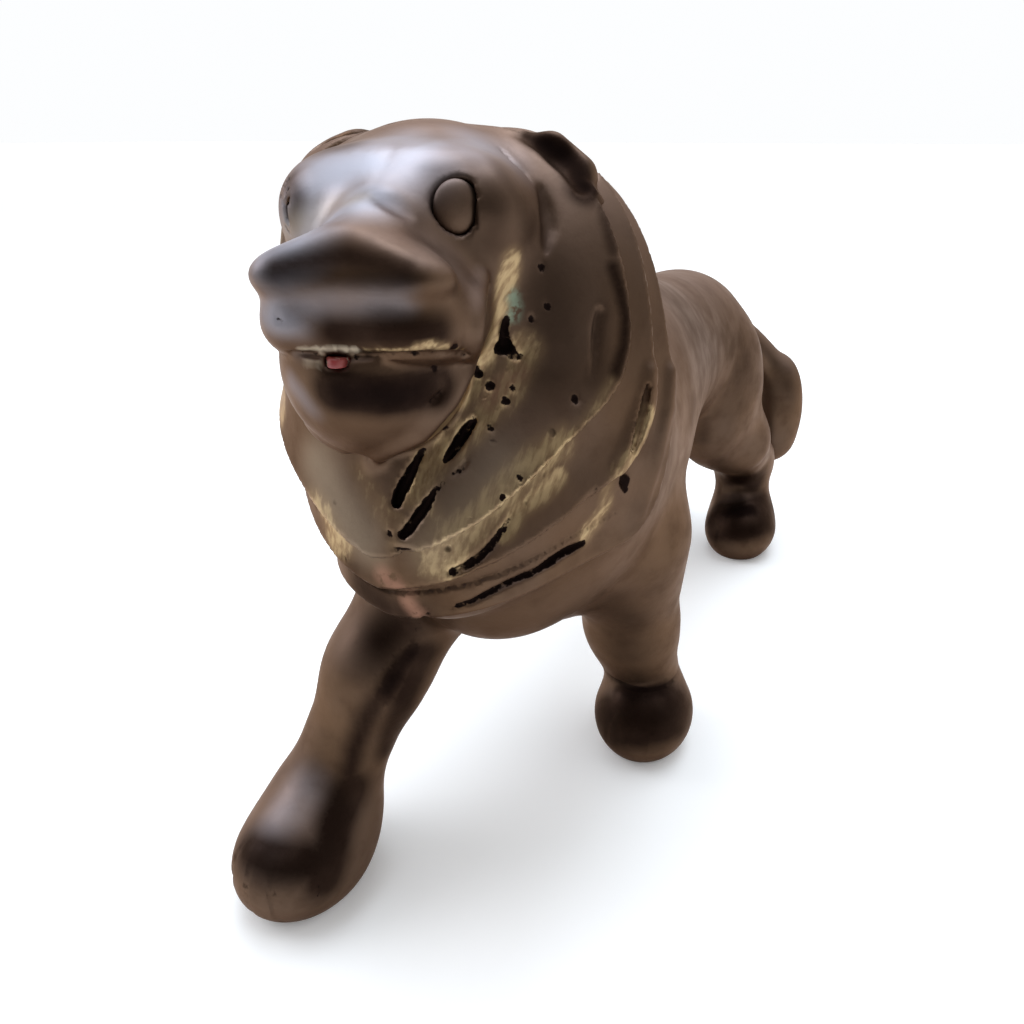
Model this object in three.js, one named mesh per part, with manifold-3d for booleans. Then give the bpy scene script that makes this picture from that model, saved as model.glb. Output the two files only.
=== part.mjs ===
// A small bronze lion, walking with its head turned a little to its left.
// It is put together from separately cast pieces that meet at thin seams.
// Millimetres, +Z up. The lion looks along -Y, and its left side is +X.
// The origin is on the ground under the middle of the figure.
import * as THREE from 'three';
import { mergeVertices } from 'three/addons/utils/BufferGeometryUtils.js';
import Module from 'manifold-3d';

const wasm = await Module();
wasm.setup();

// Clearances
const seamGap = 0.3; // between two castings where they meet
const pinGap = 0.3; // round a pin or the plug in its hole, and at its two ends
const insetGap = 0.4; // round an eye or the tongue in its seat

// Trunk: the chest, the withers, the barrel and the rump, each an egg of clay
const chest = { at: [0, -6, 59], half: [18.5, 24, 27] };
const brisket = { at: [-1, -28, 53], half: [13, 12, 12] };
const withers = { at: [0, 10, 66], half: [17, 28, 20] };
const barrel = { at: [0, 42, 63.5], half: [15, 36, 17] };
const rump = { at: [0, 72, 57], half: [17, 21, 19] };
const trunkBlend = 11;

// Mane: a collar over the neck, with three rows of locks that step down towards the shoulder
const maneBody = { at: [1.5, -26, 73], half: [19.8, 20, 29], tilt: 18 };
const maneBeard = { at: [0.5, -42, 69], half: [13.5, 13, 16] };
const maneCrown = { at: [0.8, -29, 91.5], half: [14.5, 12, 13.5] };
const maneCheek = { at: [-7.5, -40, 80], half: [11.5, 11.5, 13] };
const maneBlend = 7;
const lockRise = 1; // how far the edge of a row stands over the row behind it
const lockSlope = 9; // how far forward of its edge a row starts to rise
const neckUndercut = 0.4; // the neck lies this far inside the mane's skin

// Each row of locks ends on a line seen from the side: up the neck, round an arc, to the beard
const innerRow = { arc: [-45.2, 85.7], radius: 10.8, beard: [-58, 66.5] };
const middleRow = { arc: [-41, 77], radius: 9.6, beard: [-57, 63] };
const outerRow = { arc: [-32.6, 62], radius: 5, beard: [-53.5, 58.5] };
const rowVee = 0.24; // the edges rise this much for each millimetre out from the middle
const rowLean = 8; // degrees that the upper part of an edge leans back

// Head: its own frame, x to the lion's right, y forward, z up
const headAt = [-1.6, -43, 92.6];
const headTurn = 16; // degrees to the lion's left
const headLift = 9; // degrees up
const headReach = 27; // from the middle of the head to the tip of the nose, and a little more
const skull = { at: [0, -9, 1.5], half: [15.5, 17, 14.8] };
const temple = { at: [10.5, -12, 5], half: [7.5, 9.5, 10.5] };
const brow = { at: [6.3, 3, 6.5], half: [5.6, 6, 5] };
const bridge = { from: [0, 4, 6], to: [0, 17.5, 2.8], radii: [5.4, 3.8] };
const nose = { at: [0, 17.5, 0.8], half: [8.6, 5, 3.2] };
const upperLip = { at: [0, 9.5, -2], half: [9.3, 11.5, 6.2] };
const cheek = { at: [8.5, -6, -4], half: [8, 10, 11] };
const mouthCorner = { at: [0, 4.5, -5.5], half: [7.4, 10.5, 6.5] }; // joins the lips at their ends
const jaw = { at: [1, 8.5, -8.3], half: [7.8, 11.3, 7.3] };
const headBlend = 4;
const lipCrease = 1.2; // a small blend leaves the line of the closed mouth
const jawCrease = 1.5; // and the fold between the jaw and the mane

// Ears: a raised rim behind a long hollow. They turn half as far as the face, in their own frame
const earsAt = [-2, -40, 92.6];
const earsTurn = 8;
const earRim = { from: [11, -8.6, 11.6], to: [13.8, -8.2, 9.4], radii: [2.2, 2.4] };
const earHollow = { from: [8.2, -6.6, 14.2], to: [16.4, -4.1, 7.6], radius: 2.3 };
const earBlend = 1.6;
const earRoom = 4; // the head's casting reaches this far round an ear's rim

// Eyes: oval studs, each in a ring-shaped groove
const eyes = {
  right: { at: [8.4, 6.9, 6.6], yaw: 42 }, // degrees outward from straight ahead
  left: { at: [-6.6, 8, 6.4], yaw: -38 },
};
const eyeHalf = [2.25, 1.7, 2.35];

// Mouth: a slot between the lips that holds a red tongue
const slotSize = [13, 8, 2]; // width, depth and height
const slotAt = [0, 16.5, -5.5];
const tongueWidth = 5;
const tongueLength = 7;
const tongueForward = -0.4;

// Legs: a chain of round tapers from the body to the paw, [x, y, z, radius]
const frontLeft = {
  joints: [[12, -5, 48, 10.5], [12.4, 2, 26, 7.6], [14.8, 5.5, 12, 7]],
  paw: { at: [16.3, 2.2], half: [9.3, 10.5], turn: 0 },
  seamShare: 0.74, seamRadius: 12,
};
const frontRight = {
  joints: [[-11.5, -22, 50, 10.5], [-17.5, -35, 32, 7.3], [-22.5, -43, 14, 7.1]],
  paw: { at: [-22.6, -50.5], half: [10, 12], turn: -8 },
  seamShare: 0.3, seamRadius: 12.5,
};
const rearLeft = {
  haunch: { at: [10.5, 75, 48], half: [10.5, 17, 19], tilt: 12 },
  joints: [[15.5, 82, 34, 8.8], [16.6, 95, 24, 7.2], [17.5, 96, 12, 6.8]],
  paw: { at: [19.4, 87.5], half: [9.6, 11.5], turn: 0 },
  seamShare: 0.45, seamRadius: 11.5,
};
const rearRight = {
  haunch: { at: [-10.5, 79, 48], half: [10.5, 17, 19], tilt: 18 },
  joints: [[-15, 86, 34, 8.8], [-16, 101, 24, 7.2], [-17, 104, 12, 6.8]],
  paw: { at: [-18.5, 98], half: [9.4, 11.5], turn: 0 },
  seamShare: 0.45, seamRadius: 11.5,
};
const legBlend = 5;
const haunchBlend = 7;
const pawBlend = 2;
const pawMiddle = 6.5; // a paw is an egg this far up, cut flat by the ground
const pawRise = 9.6; // half the egg's height
const freeLegTop = 22; // below this height there is nothing but legs
const pawReach = 40; // half the length of ground that belongs to one paw

// Tail: a chain of round tapers that ends in a flat-sided tuft
const tailChain = [
  [0, 88, 63, 4.8], [7, 99.5, 59, 4.4], [14.5, 105.5, 51.5, 4.6],
  [19.6, 108.5, 43.5, 5.4], [21.6, 109.4, 35, 6.2], [21.9, 109.2, 26.5, 6],
];
const tailBlend = 2.5;
const tailSeamShare = 0.62;
const tailSeamRadius = 8;

// Pins, the neck bolt and the plug in the casting core's hole
const legPin = { radius: 2, length: 14 };
const tailPin = { radius: 1.5, length: 8 };
const neckBolt = { radius: 3, from: [0, -46, 84], to: [0, -8, 76] };
const plug = { at: [-1, -8], radius: 3.6, length: 7, stand: 0.3 };

// Grid steps: how coarsely each casting's skin is faceted
const trunkStep = 5.9;
const legStep = 3.5;
const maneStep = 3.5;
const headStep = 2.35;
const tailStep = 2.8;
const clayMargin = 4; // room left round the clay before its skin is found
const roundSides = 16; // sides of a pin, an eye or the plug
const seamSides = 40; // sides of the round cut between a leg and the trunk
const arcSegments = 14; // pieces in the curve of a row's edge
const mostPasses = 20; // over a grid, to part sheets of skin that touch
const through = 120; // long enough for a cut to pass right through the figure

const bronze = { color: 0x6b5248, metalness: 0.85, roughness: 0.42 };
const brass = { color: 0xb08a4a, metalness: 0.9, roughness: 0.35 };
const enamel = { color: 0xb4453a, metalness: 0, roughness: 0.4 };

const radians = THREE.MathUtils.degToRad;
const vector = (list) => new THREE.Vector3(list[0], list[1], list[2]);

// A form is a function of a point: below zero inside the clay, above zero outside it

function egg({ at, half, tilt = 0, turn = 0 }) {
  const centre = vector(at);
  const unturn = new THREE.Quaternion()
    .setFromEuler(new THREE.Euler(radians(tilt), 0, radians(turn)))
    .invert();
  const q = new THREE.Vector3();
  return (p) => {
    q.copy(p).sub(centre).applyQuaternion(unturn);
    const x = q.x / half[0];
    const y = q.y / half[1];
    const z = q.z / half[2];
    const reach = Math.hypot(x, y, z);
    const slope = Math.hypot(x / half[0], y / half[1], z / half[2]);
    return (reach * (reach - 1)) / Math.max(slope, 1e-9);
  };
}

// A taper has a round end of its own radius at each end
function taper(from, to, radii) {
  const start = vector(from);
  const along = vector(to).sub(start);
  const length = along.length();
  along.normalize();
  const lean = (radii[0] - radii[1]) / length;
  const slant = Math.sqrt(Math.max(1 - lean * lean, 0));
  const q = new THREE.Vector3();
  return (p) => {
    q.copy(p).sub(start);
    const run = q.dot(along);
    const off = Math.sqrt(Math.max(q.lengthSq() - run * run, 0));
    const side = run * slant - off * lean;
    if (side < 0) return Math.hypot(run, off) - radii[0];
    if (side > length * slant) return Math.hypot(run - length, off) - radii[1];
    return off * slant + run * lean - radii[0];
  };
}

function chain(joints, blend) {
  const links = joints.slice(1).map((joint, i) => taper(joints[i], joint, [joints[i][3], joint[3]]));
  return smooth(blend, ...links);
}

function smoothPair(a, b, blend) {
  const share = THREE.MathUtils.clamp(0.5 + (0.5 * (b - a)) / blend, 0, 1);
  return b + (a - b) * share - blend * share * (1 - share);
}

// Forms pressed together, with a fillet about as wide as the blend
function smooth(blend, ...forms) {
  return (p) => forms.reduce((sum, form) => smoothPair(sum, form(p), blend), 1e3);
}

// Both sides of the head come from one side's forms
function bothSides(form) {
  const q = new THREE.Vector3();
  return (p) => form(q.set(Math.abs(p.x), p.y, p.z));
}

// Rows of locks, seen from the side

function rowLine({ arc, radius, beard }) {
  const [dy, dz] = [beard[0] - arc[0], beard[1] - arc[1]];
  const lean = -radians(rowLean);
  const touch = Math.atan2(dz, dy) + Math.acos(Math.min(radius / Math.hypot(dy, dz), 1));
  const facing = (angle) => [Math.cos(angle), Math.sin(angle)];
  return { arc, radius, beard, lean, touch, upper: facing(lean), lower: facing(touch) };
}

// How far a point lies behind a row's edge: below zero on the row itself
function behindRow({ arc, radius, lean, touch, upper, lower }) {
  return (p) => {
    const [y, z] = [p.y - arc[0], p.z - arc[1] - rowVee * Math.abs(p.x)];
    const angle = Math.atan2(z, y);
    if (angle > lean) return y * upper[0] + z * upper[1] - radius;
    if (angle > touch) return Math.hypot(y, z) - radius;
    return y * lower[0] + z * lower[1] - radius;
  };
}

// Everything in front of a row's edge, as a solid right through the figure
function rowBlock(row, grow) {
  const { arc, beard, lean, touch, upper, lower } = row;
  const radius = row.radius + grow;
  const start = [arc[0] + radius * upper[0], arc[1] + radius * upper[1]];
  const top = [start[0] - through * upper[1], start[1] + through * upper[0]];
  const foot = [beard[0] + grow * lower[0], beard[1] + grow * lower[1]];
  const outline = new THREE.Shape();
  outline.moveTo(top[0], top[1]);
  outline.lineTo(start[0], start[1]);
  outline.absarc(arc[0], arc[1], radius, lean, touch, true);
  outline.lineTo(foot[0], foot[1]);
  outline.lineTo(arc[0] - through, foot[1]);
  outline.lineTo(arc[0] - through, top[1]);
  const slab = new THREE.ExtrudeGeometry(outline, {
    depth: through, bevelEnabled: false, curveSegments: arcSegments,
  });
  const halves = [-1, 1].map((side) => {
    const geometry = slab.clone().translate(0, 0, side < 0 ? -through : 0);
    const shear = side * rowVee;
    return solidOf(geometry.applyMatrix4(new THREE.Matrix4().set(
      0, 0, 1, 0,
      1, 0, 0, 0,
      0, 1, shear, 0,
      0, 0, 0, 1,
    )));
  });
  return halves[0].add(halves[1]);
}

// Solids

function solidOf(geometry) {
  const bare = geometry.clone();
  bare.deleteAttribute('normal');
  bare.deleteAttribute('uv');
  const merged = mergeVertices(bare, 1e-5);
  return new wasm.Manifold(new wasm.Mesh({
    numProp: 3,
    vertProperties: new Float32Array(merged.attributes.position.array),
    triVerts: new Uint32Array(merged.index.array),
  }));
}

function geometryOf(solid, anchor) {
  const mesh = solid.getMesh();
  const geometry = new THREE.BufferGeometry();
  geometry.setAttribute('position', new THREE.BufferAttribute(new Float32Array(mesh.vertProperties), 3));
  geometry.setIndex(new THREE.BufferAttribute(new Uint32Array(mesh.triVerts), 1));
  geometry.translate(-anchor.x, -anchor.y, -anchor.z);
  geometry.computeVertexNormals();
  return geometry;
}

// A cut can leave crumbs, so a casting is the largest piece that is left
function largest(solid) {
  return solid.decompose().reduce((best, piece) => (piece.volume() > best.volume() ? piece : best));
}

const ways = [[1, 0, 0], [0, 1, 0], [0, 0, 1]];

// The skin of a form as a closed net of four-sided cells: one point in each grid cell that the
// skin crosses, drawn onto the skin, and one facet across each grid edge that it cuts
function sculpt(form, box, step) {
  const corner = box.clone().expandByScalar(1.5 * step).min;
  const span = box.getSize(new THREE.Vector3()).addScalar(3 * step);
  const count = span.toArray().map((size) => Math.ceil(size / step) + 1);
  const [nx, ny, nz] = count;
  const outside = (p, axis) => Math.max(box.min[axis] - p[axis], p[axis] - box.max[axis]);
  const capped = (p) => Math.max(form(p), outside(p, 'x'), outside(p, 'y'), outside(p, 'z'));
  const index = (i, j, k) => i + nx * (j + ny * k);
  const place = (i, j, k) => new THREE.Vector3(i, j, k).multiplyScalar(step).add(corner);
  const value = new Float64Array(nx * ny * nz);
  for (let k = 0; k < nz; k += 1) {
    for (let j = 0; j < ny; j += 1) {
      for (let i = 0; i < nx; i += 1) value[index(i, j, k)] = capped(place(i, j, k));
    }
  }
  const corners = [];
  for (let c = 0; c < 8; c += 1) corners.push([c % 2, Math.floor(c / 2) % 2, Math.floor(c / 4)]);
  let passes = 0;
  while (partTouchingSheets(value, count) && passes < mostPasses) passes += 1;
  const cellPoint = new Map();
  const positions = [];
  for (let k = 0; k < nz - 1; k += 1) {
    for (let j = 0; j < ny - 1; j += 1) {
      for (let i = 0; i < nx - 1; i += 1) {
        const sum = new THREE.Vector3();
        let crossings = 0;
        corners.forEach((cell) => ways.forEach((way, axis) => {
          if (cell[axis] === 1) return;
          const a = index(i + cell[0], j + cell[1], k + cell[2]);
          const b = index(i + cell[0] + way[0], j + cell[1] + way[1], k + cell[2] + way[2]);
          if (value[a] < 0 === value[b] < 0) return;
          const share = value[a] / (value[a] - value[b]);
          const p = place(i + cell[0], j + cell[1], k + cell[2]);
          p.setComponent(axis, p.getComponent(axis) + share * step);
          sum.add(p);
          crossings += 1;
        }));
        if (crossings > 0) {
          cellPoint.set(index(i, j, k), positions.length / 3);
          const p = drawOntoSkin(capped, sum.divideScalar(crossings), step);
          positions.push(p.x, p.y, p.z);
        }
      }
    }
  }
  const facets = [];
  const facet = (a, b, c, d, flip) => {
    if (flip) facets.push(a, c, b, a, d, c);
    else facets.push(a, b, c, a, c, d);
  };
  for (let k = 1; k < nz - 1; k += 1) {
    for (let j = 1; j < ny - 1; j += 1) {
      for (let i = 1; i < nx - 1; i += 1) {
        const here = value[index(i, j, k)] < 0;
        ways.forEach((way, axis) => {
          const there = value[index(i + way[0], j + way[1], k + way[2])] < 0;
          if (here === there) return;
          const [u, v] = [ways[(axis + 1) % 3], ways[(axis + 2) % 3]];
          const at = (s, t) => cellPoint.get(index(
            i - s * u[0] - t * v[0], j - s * u[1] - t * v[1], k - s * u[2] - t * v[2],
          ));
          facet(at(0, 0), at(1, 0), at(1, 1), at(0, 1), there);
        });
      }
    }
  }
  return new wasm.Manifold(new wasm.Mesh({
    numProp: 3, vertProperties: new Float32Array(positions), triVerts: new Uint32Array(facets),
  }));
}

// Where the corners of a grid square lie inside and outside by turns, two sheets of skin would touch
// along an edge. The corner nearest the skin changes sides, and the squares are looked at again.
function partTouchingSheets(value, [nx, ny, nz]) {
  const jumps = [1, nx, nx * ny];
  const pairs = [[jumps[0], jumps[1]], [jumps[1], jumps[2]], [jumps[2], jumps[0]]];
  let changed = false;
  for (let k = 0; k < nz - 1; k += 1) {
    for (let j = 0; j < ny - 1; j += 1) {
      for (let i = 0; i < nx - 1; i += 1) {
        const here = i + nx * (j + ny * k);
        pairs.forEach(([u, v]) => {
          const square = [here, here + u, here + u + v, here + v];
          const inside = square.map((corner) => value[corner] < 0);
          if (inside[0] !== inside[2] || inside[1] !== inside[3] || inside[0] === inside[1]) return;
          const nearest = square.reduce((a, b) => (Math.abs(value[b]) < Math.abs(value[a]) ? b : a));
          value[nearest] = -value[nearest] || Number.MIN_VALUE;
          changed = true;
        });
      }
    }
  }
  return changed;
}

// Two short walks down the slope of the form, no further than a third of a grid step each
function drawOntoSkin(form, point, step) {
  const nudge = 0.02;
  const slope = new THREE.Vector3();
  for (let walk = 0; walk < 2; walk += 1) {
    const here = form(point);
    ['x', 'y', 'z'].forEach((axis) => {
      const beside = point.clone();
      beside[axis] += nudge;
      slope[axis] = (form(beside) - here) / nudge;
    });
    const steep = Math.max(slope.lengthSq(), 1e-6);
    const most = step / 3;
    point.addScaledVector(slope, -THREE.MathUtils.clamp(here, -most, most) / steep);
  }
  return point;
}

// A solid made along +Y about the origin, set down with its middle at a point
function setAlong(geometry, middle, direction) {
  const turn = new THREE.Quaternion().setFromUnitVectors(new THREE.Vector3(0, 1, 0), direction);
  return geometry.clone().applyQuaternion(turn).translate(middle.x, middle.y, middle.z);
}

// Legs, seams and pins

function legForm(leg) {
  const paw = egg({
    at: [...leg.paw.at, pawMiddle],
    half: [...leg.paw.half, pawRise],
    turn: leg.paw.turn,
  });
  const shaft = chain(leg.joints, legBlend);
  const limb = leg.haunch ? smooth(haunchBlend, egg(leg.haunch), shaft) : shaft;
  return smooth(pawBlend, limb, paw);
}

// Where a limb is parted: a point on its axis and the way that the limb leaves the body
function seamOf(joints, share) {
  const root = vector(joints[0]);
  const way = vector(joints[1]).sub(root);
  const point = root.clone().addScaledVector(way, share);
  return { point, way: way.normalize() };
}

// The part of space that a leg's casting fills, grown by a clearance
function legSpace(leg, grow) {
  const { point, way } = seamOf(leg.joints, leg.seamShare);
  const radius = leg.seamRadius + grow;
  const sleeve = new THREE.CylinderGeometry(radius, radius, through + grow, seamSides);
  const middle = point.clone().addScaledVector(way, (through - grow) / 2);
  const side = Math.sign(leg.paw.at[0]);
  const below = new THREE.BoxGeometry(pawReach, 2 * pawReach, freeLegTop);
  below.translate((side * pawReach) / 2, leg.paw.at[1], freeLegTop / 2);
  const space = solidOf(setAlong(sleeve, middle, way)).add(solidOf(below));
  const aboveGround = new THREE.BoxGeometry(2 * through, 4 * through, through);
  return space.intersect(solidOf(aboveGround.translate(0, 0, through / 2)));
}

function pinGeometry(pin, grow) {
  const radius = pin.radius + grow;
  return new THREE.CylinderGeometry(radius, radius, pin.length + 2 * grow, roundSides);
}

// A box round some eggs, with room to spare
function boxRound(eggs) {
  const box = new THREE.Box3();
  eggs.forEach(({ at, half }) => {
    box.union(new THREE.Box3(vector(at).sub(vector(half)), vector(at).add(vector(half))));
  });
  return box.expandByScalar(clayMargin);
}

function jointEggs(joints) {
  return joints.map(([x, y, z, radius]) => ({ at: [x, y, z], half: [radius, radius, radius] }));
}

// Clay for the trunk, with the roots of the legs, the neck and the tail on it
const legs = { front_left: frontLeft, front_right: frontRight, rear_left: rearLeft, rear_right: rearRight };
const trunkEggs = [chest, withers, barrel, rump];
const maneEggs = [maneBody, maneBeard, maneCrown, maneCheek];
const maneSkin = smooth(maneBlend, ...maneEggs.map(egg));
const neck = (p) => maneSkin(p) + neckUndercut;
const bodyForm = smooth(
  legBlend,
  smooth(trunkBlend, ...trunkEggs.map(egg), neck),
  egg(brisket),
  ...Object.values(legs).map(legForm),
);
const tailForm = chain(tailChain, tailBlend);
const trunkForm = smooth(tailBlend, bodyForm, chain(tailChain.slice(0, 2), tailBlend));

// Mane rows: each lies on the mane's skin and lifts towards its own edge
const rows = [innerRow, middleRow, outerRow].map(rowLine);

function rowForm(row) {
  const behind = behindRow(row);
  return (p) => {
    const share = THREE.MathUtils.clamp(1 + behind(p) / lockSlope, 0, 1);
    return maneSkin(p) - lockRise * share;
  };
}

// Clay for the head and the ears, each in its own frame
function frameAt(at, lift, turn) {
  const frame = new THREE.Group();
  frame.position.copy(vector(at));
  frame.rotation.set(radians(lift), 0, radians(180 + turn), 'ZYX');
  frame.updateMatrixWorld();
  return frame;
}

function placedBy(frame, form) {
  const inward = frame.matrixWorld.clone().invert();
  const q = new THREE.Vector3();
  return (p) => form(q.copy(p).applyMatrix4(inward));
}

const headFrame = frameAt(headAt, headLift, headTurn);
const earFrame = frameAt(earsAt, 0, earsTurn);

const faceForm = smooth(
  headBlend,
  egg(skull),
  bothSides(egg(temple)),
  bothSides(egg(brow)),
  taper(bridge.from, bridge.to, bridge.radii),
  egg(nose),
  egg(upperLip),
  bothSides(egg(cheek)),
  egg(mouthCorner),
);
const mouthForm = smooth(lipCrease, faceForm, egg(jaw));
const rimForm = placedBy(earFrame, bothSides(taper(earRim.from, earRim.to, earRim.radii)));
const headForm = smooth(
  earBlend,
  smooth(jawCrease, placedBy(headFrame, mouthForm), rowForm(rows[0])),
  rimForm,
);

// Eyes, the mouth's slot and the tongue, made about the origin and set down in the head's frame
function eyeGeometry({ yaw }, grow) {
  const [wide, deep, high] = eyeHalf;
  const geometry = new THREE.SphereGeometry(1, roundSides, roundSides / 2);
  geometry.scale(wide + grow, deep + grow, high + grow);
  return geometry.rotateZ(-radians(yaw));
}

function slotGeometry() {
  const geometry = new THREE.CylinderGeometry(0.5, 0.5, 1, roundSides);
  return geometry.scale(slotSize[0], slotSize[1], slotSize[2]);
}

function tongueGeometry() {
  const geometry = new THREE.SphereGeometry(0.5, roundSides, roundSides / 2);
  return geometry.scale(tongueWidth, tongueLength, slotSize[2] - 2 * insetGap);
}

const slotPlace = vector(slotAt);
const tonguePlace = slotPlace.clone().add(new THREE.Vector3(0, tongueForward, 0));

function setInHead(geometry, place) {
  return solidOf(geometry.clone().translate(place.x, place.y, place.z).applyMatrix4(headFrame.matrixWorld));
}

// The pins' places: across the seam of each limb, and from the head through the mane to the trunk
function pinPlace(joints, share, pin) {
  const { point, way } = seamOf(joints, share);
  return { pin, middle: point, way };
}
const boltFrom = vector(neckBolt.from);
const boltTo = vector(neckBolt.to);
const boltPlace = {
  pin: { radius: neckBolt.radius, length: boltFrom.distanceTo(boltTo) },
  middle: boltFrom.clone().lerp(boltTo, 0.5),
  way: boltTo.clone().sub(boltFrom).normalize(),
};
const pinPlaces = { tail_pin: pinPlace(tailChain, tailSeamShare, tailPin), neck_bolt: boltPlace };
Object.entries(legs).forEach(([name, leg]) => {
  pinPlaces[`${name}_leg_pin`] = pinPlace(leg.joints, leg.seamShare, legPin);
});
const pinHole = ({ pin, middle, way }) => solidOf(setAlong(pinGeometry(pin, pinGap), middle, way));

// The core plug sits in a blind hole in the underside of the chest
function undersideAt(form, x, y) {
  const probe = new THREE.Vector3(x, y, freeLegTop);
  const climb = 0.05;
  while (form(probe) > 0) probe.z += climb;
  return probe.z;
}
const plugFoot = undersideAt(bodyForm, plug.at[0], plug.at[1]) - plug.stand;
const plugMiddle = new THREE.Vector3(plug.at[0], plug.at[1], plugFoot + plug.length / 2);
pinPlaces.belly_plug = { pin: plug, middle: plugMiddle, way: new THREE.Vector3(0, 0, 1) };

// The castings
const half = seamGap / 2;

function tailSpace(grow) {
  const { point, way } = seamOf(tailChain, tailSeamShare);
  const length = tailSeamRadius * 2;
  const sleeve = new THREE.CylinderGeometry(tailSeamRadius, tailSeamRadius, length + grow, roundSides);
  return solidOf(setAlong(sleeve, point.clone().addScaledVector(way, (length - grow) / 2), way));
}

function trunkCasting() {
  const haunches = Object.values(legs).flatMap((leg) => leg.haunch ?? []);
  const box = boxRound([...trunkEggs, ...maneEggs, ...haunches, ...jointEggs(tailChain.slice(0, 2))]);
  box.min.z = freeLegTop - clayMargin / 2;
  let solid = sculpt(trunkForm, box, trunkStep).subtract(rowBlock(rows[2], half));
  Object.values(legs).forEach((leg) => { solid = solid.subtract(legSpace(leg, seamGap)); });
  solid = largest(solid.subtract(tailSpace(seamGap)));
  Object.values(pinPlaces).forEach((place) => { solid = solid.subtract(pinHole(place)); });
  return solid;
}

function legCasting(name, leg) {
  const paw = { at: [...leg.paw.at, pawMiddle], half: [...leg.paw.half, pawRise] };
  const box = boxRound([paw, ...jointEggs(leg.joints)]);
  const solid = largest(sculpt(bodyForm, box, legStep).intersect(legSpace(leg, 0)));
  return solid.subtract(pinHole(pinPlaces[`${name}_leg_pin`]));
}

function tailCasting() {
  const { point, way } = seamOf(tailChain, tailSeamShare);
  const bodySide = new THREE.BoxGeometry(through, through, through);
  const cut = solidOf(setAlong(bodySide, point.clone().addScaledVector(way, -through / 2), way));
  const solid = largest(sculpt(tailForm, boxRound(jointEggs(tailChain)), tailStep).subtract(cut));
  return solid.subtract(pinHole(pinPlaces.tail_pin));
}

function maneCasting() {
  const [middle, outer] = [rows[1], rows[2]].map(
    (row) => sculpt(rowForm(row), boxRound(maneEggs), maneStep).intersect(rowBlock(row, -half)),
  );
  const solid = largest(middle.add(outer).subtract(headSpace(half)));
  return solid.subtract(pinHole(boltPlace));
}

// The head's casting fills all the space before the inner row's edge, and some round the ears
function headSpace(grow) {
  const middle = vector(earRim.from).lerp(vector(earRim.to), 0.5);
  const radius = vector(earRim.from).distanceTo(middle) + earRoom + grow;
  return [-1, 1].reduce((space, side) => {
    const ball = new THREE.SphereGeometry(radius, roundSides, roundSides / 2);
    ball.translate(side * middle.x, middle.y, middle.z).applyMatrix4(earFrame.matrixWorld);
    return space.add(solidOf(ball));
  }, rowBlock(rows[0], grow));
}

function earHollowSolid(side) {
  const mirror = new THREE.Vector3(side, 1, 1);
  const from = vector(earHollow.from).multiply(mirror);
  const to = vector(earHollow.to).multiply(mirror);
  const along = to.clone().sub(from);
  const hollow = new THREE.SphereGeometry(1, roundSides, roundSides / 2);
  hollow.scale(earHollow.radius, along.length() / 2, earHollow.radius);
  const placed = setAlong(hollow, from.lerp(to, 0.5), along.normalize());
  return solidOf(placed.applyMatrix4(earFrame.matrixWorld));
}

function headCasting() {
  const face = { at: headAt, half: [headReach, headReach, headReach] };
  const box = boxRound([face, ...maneEggs]);
  let solid = sculpt(headForm, box, headStep).intersect(headSpace(-half));
  Object.values(eyes).forEach((eye) => {
    solid = solid.subtract(setInHead(eyeGeometry(eye, insetGap), vector(eye.at)));
  });
  solid = solid.subtract(setInHead(slotGeometry(), slotPlace));
  [-1, 1].forEach((side) => { solid = solid.subtract(earHollowSolid(side)); });
  return largest(solid).subtract(pinHole(boltPlace));
}

// The figure
const figure = new THREE.Group();

function addPiece(name, geometry, look, place, parent = figure) {
  const mesh = new THREE.Mesh(geometry, new THREE.MeshStandardMaterial(look));
  mesh.name = name;
  mesh.position.copy(place);
  parent.add(mesh);
  return mesh;
}

function addCasting(name, solid, place) {
  return addPiece(name, geometryOf(solid, place), bronze, place);
}

addCasting('trunk', trunkCasting(), vector(barrel.at));
addCasting('mane', maneCasting(), vector(maneBody.at));
addCasting('head', headCasting(), vector(headAt));
Object.entries(legs).forEach(([name, leg]) => {
  addCasting(`${name}_leg`, legCasting(name, leg), vector(leg.joints[0]));
});
addCasting('tail', tailCasting(), vector(tailChain[0]));

figure.add(headFrame);
Object.entries(eyes).forEach(([side, eye]) => {
  addPiece(`${side}_eye`, eyeGeometry(eye, 0), bronze, vector(eye.at), headFrame);
});
addPiece('tongue', tongueGeometry(), enamel, tonguePlace, headFrame);

Object.entries(pinPlaces).forEach(([name, { pin, middle, way }]) => {
  const mesh = addPiece(name, pinGeometry(pin, 0), brass, middle);
  mesh.quaternion.setFromUnitVectors(THREE.Object3D.DEFAULT_UP, way);
});

// The origin goes under the middle of the figure
const box = new THREE.Box3().setFromObject(figure);
const centre = box.getCenter(new THREE.Vector3());
figure.position.set(-centre.x, -centre.y, -box.min.z);

export default figure;
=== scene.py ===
"""Looks for the bronze lion figurine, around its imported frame.

The castings' clay forms are modelled again here on a fine grid, and the marks that casting, wear and
age have left on them are pressed into that skin. The working units are millimetres, with the lion
looking along -Y, its left side at +X and the ground at z 0. Each piece is turned into metres last.
"""

import math
from functools import partialmethod

import bpy
import numpy as np
from mathutils import Matrix, Vector
from numpy.linalg import norm


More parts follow.
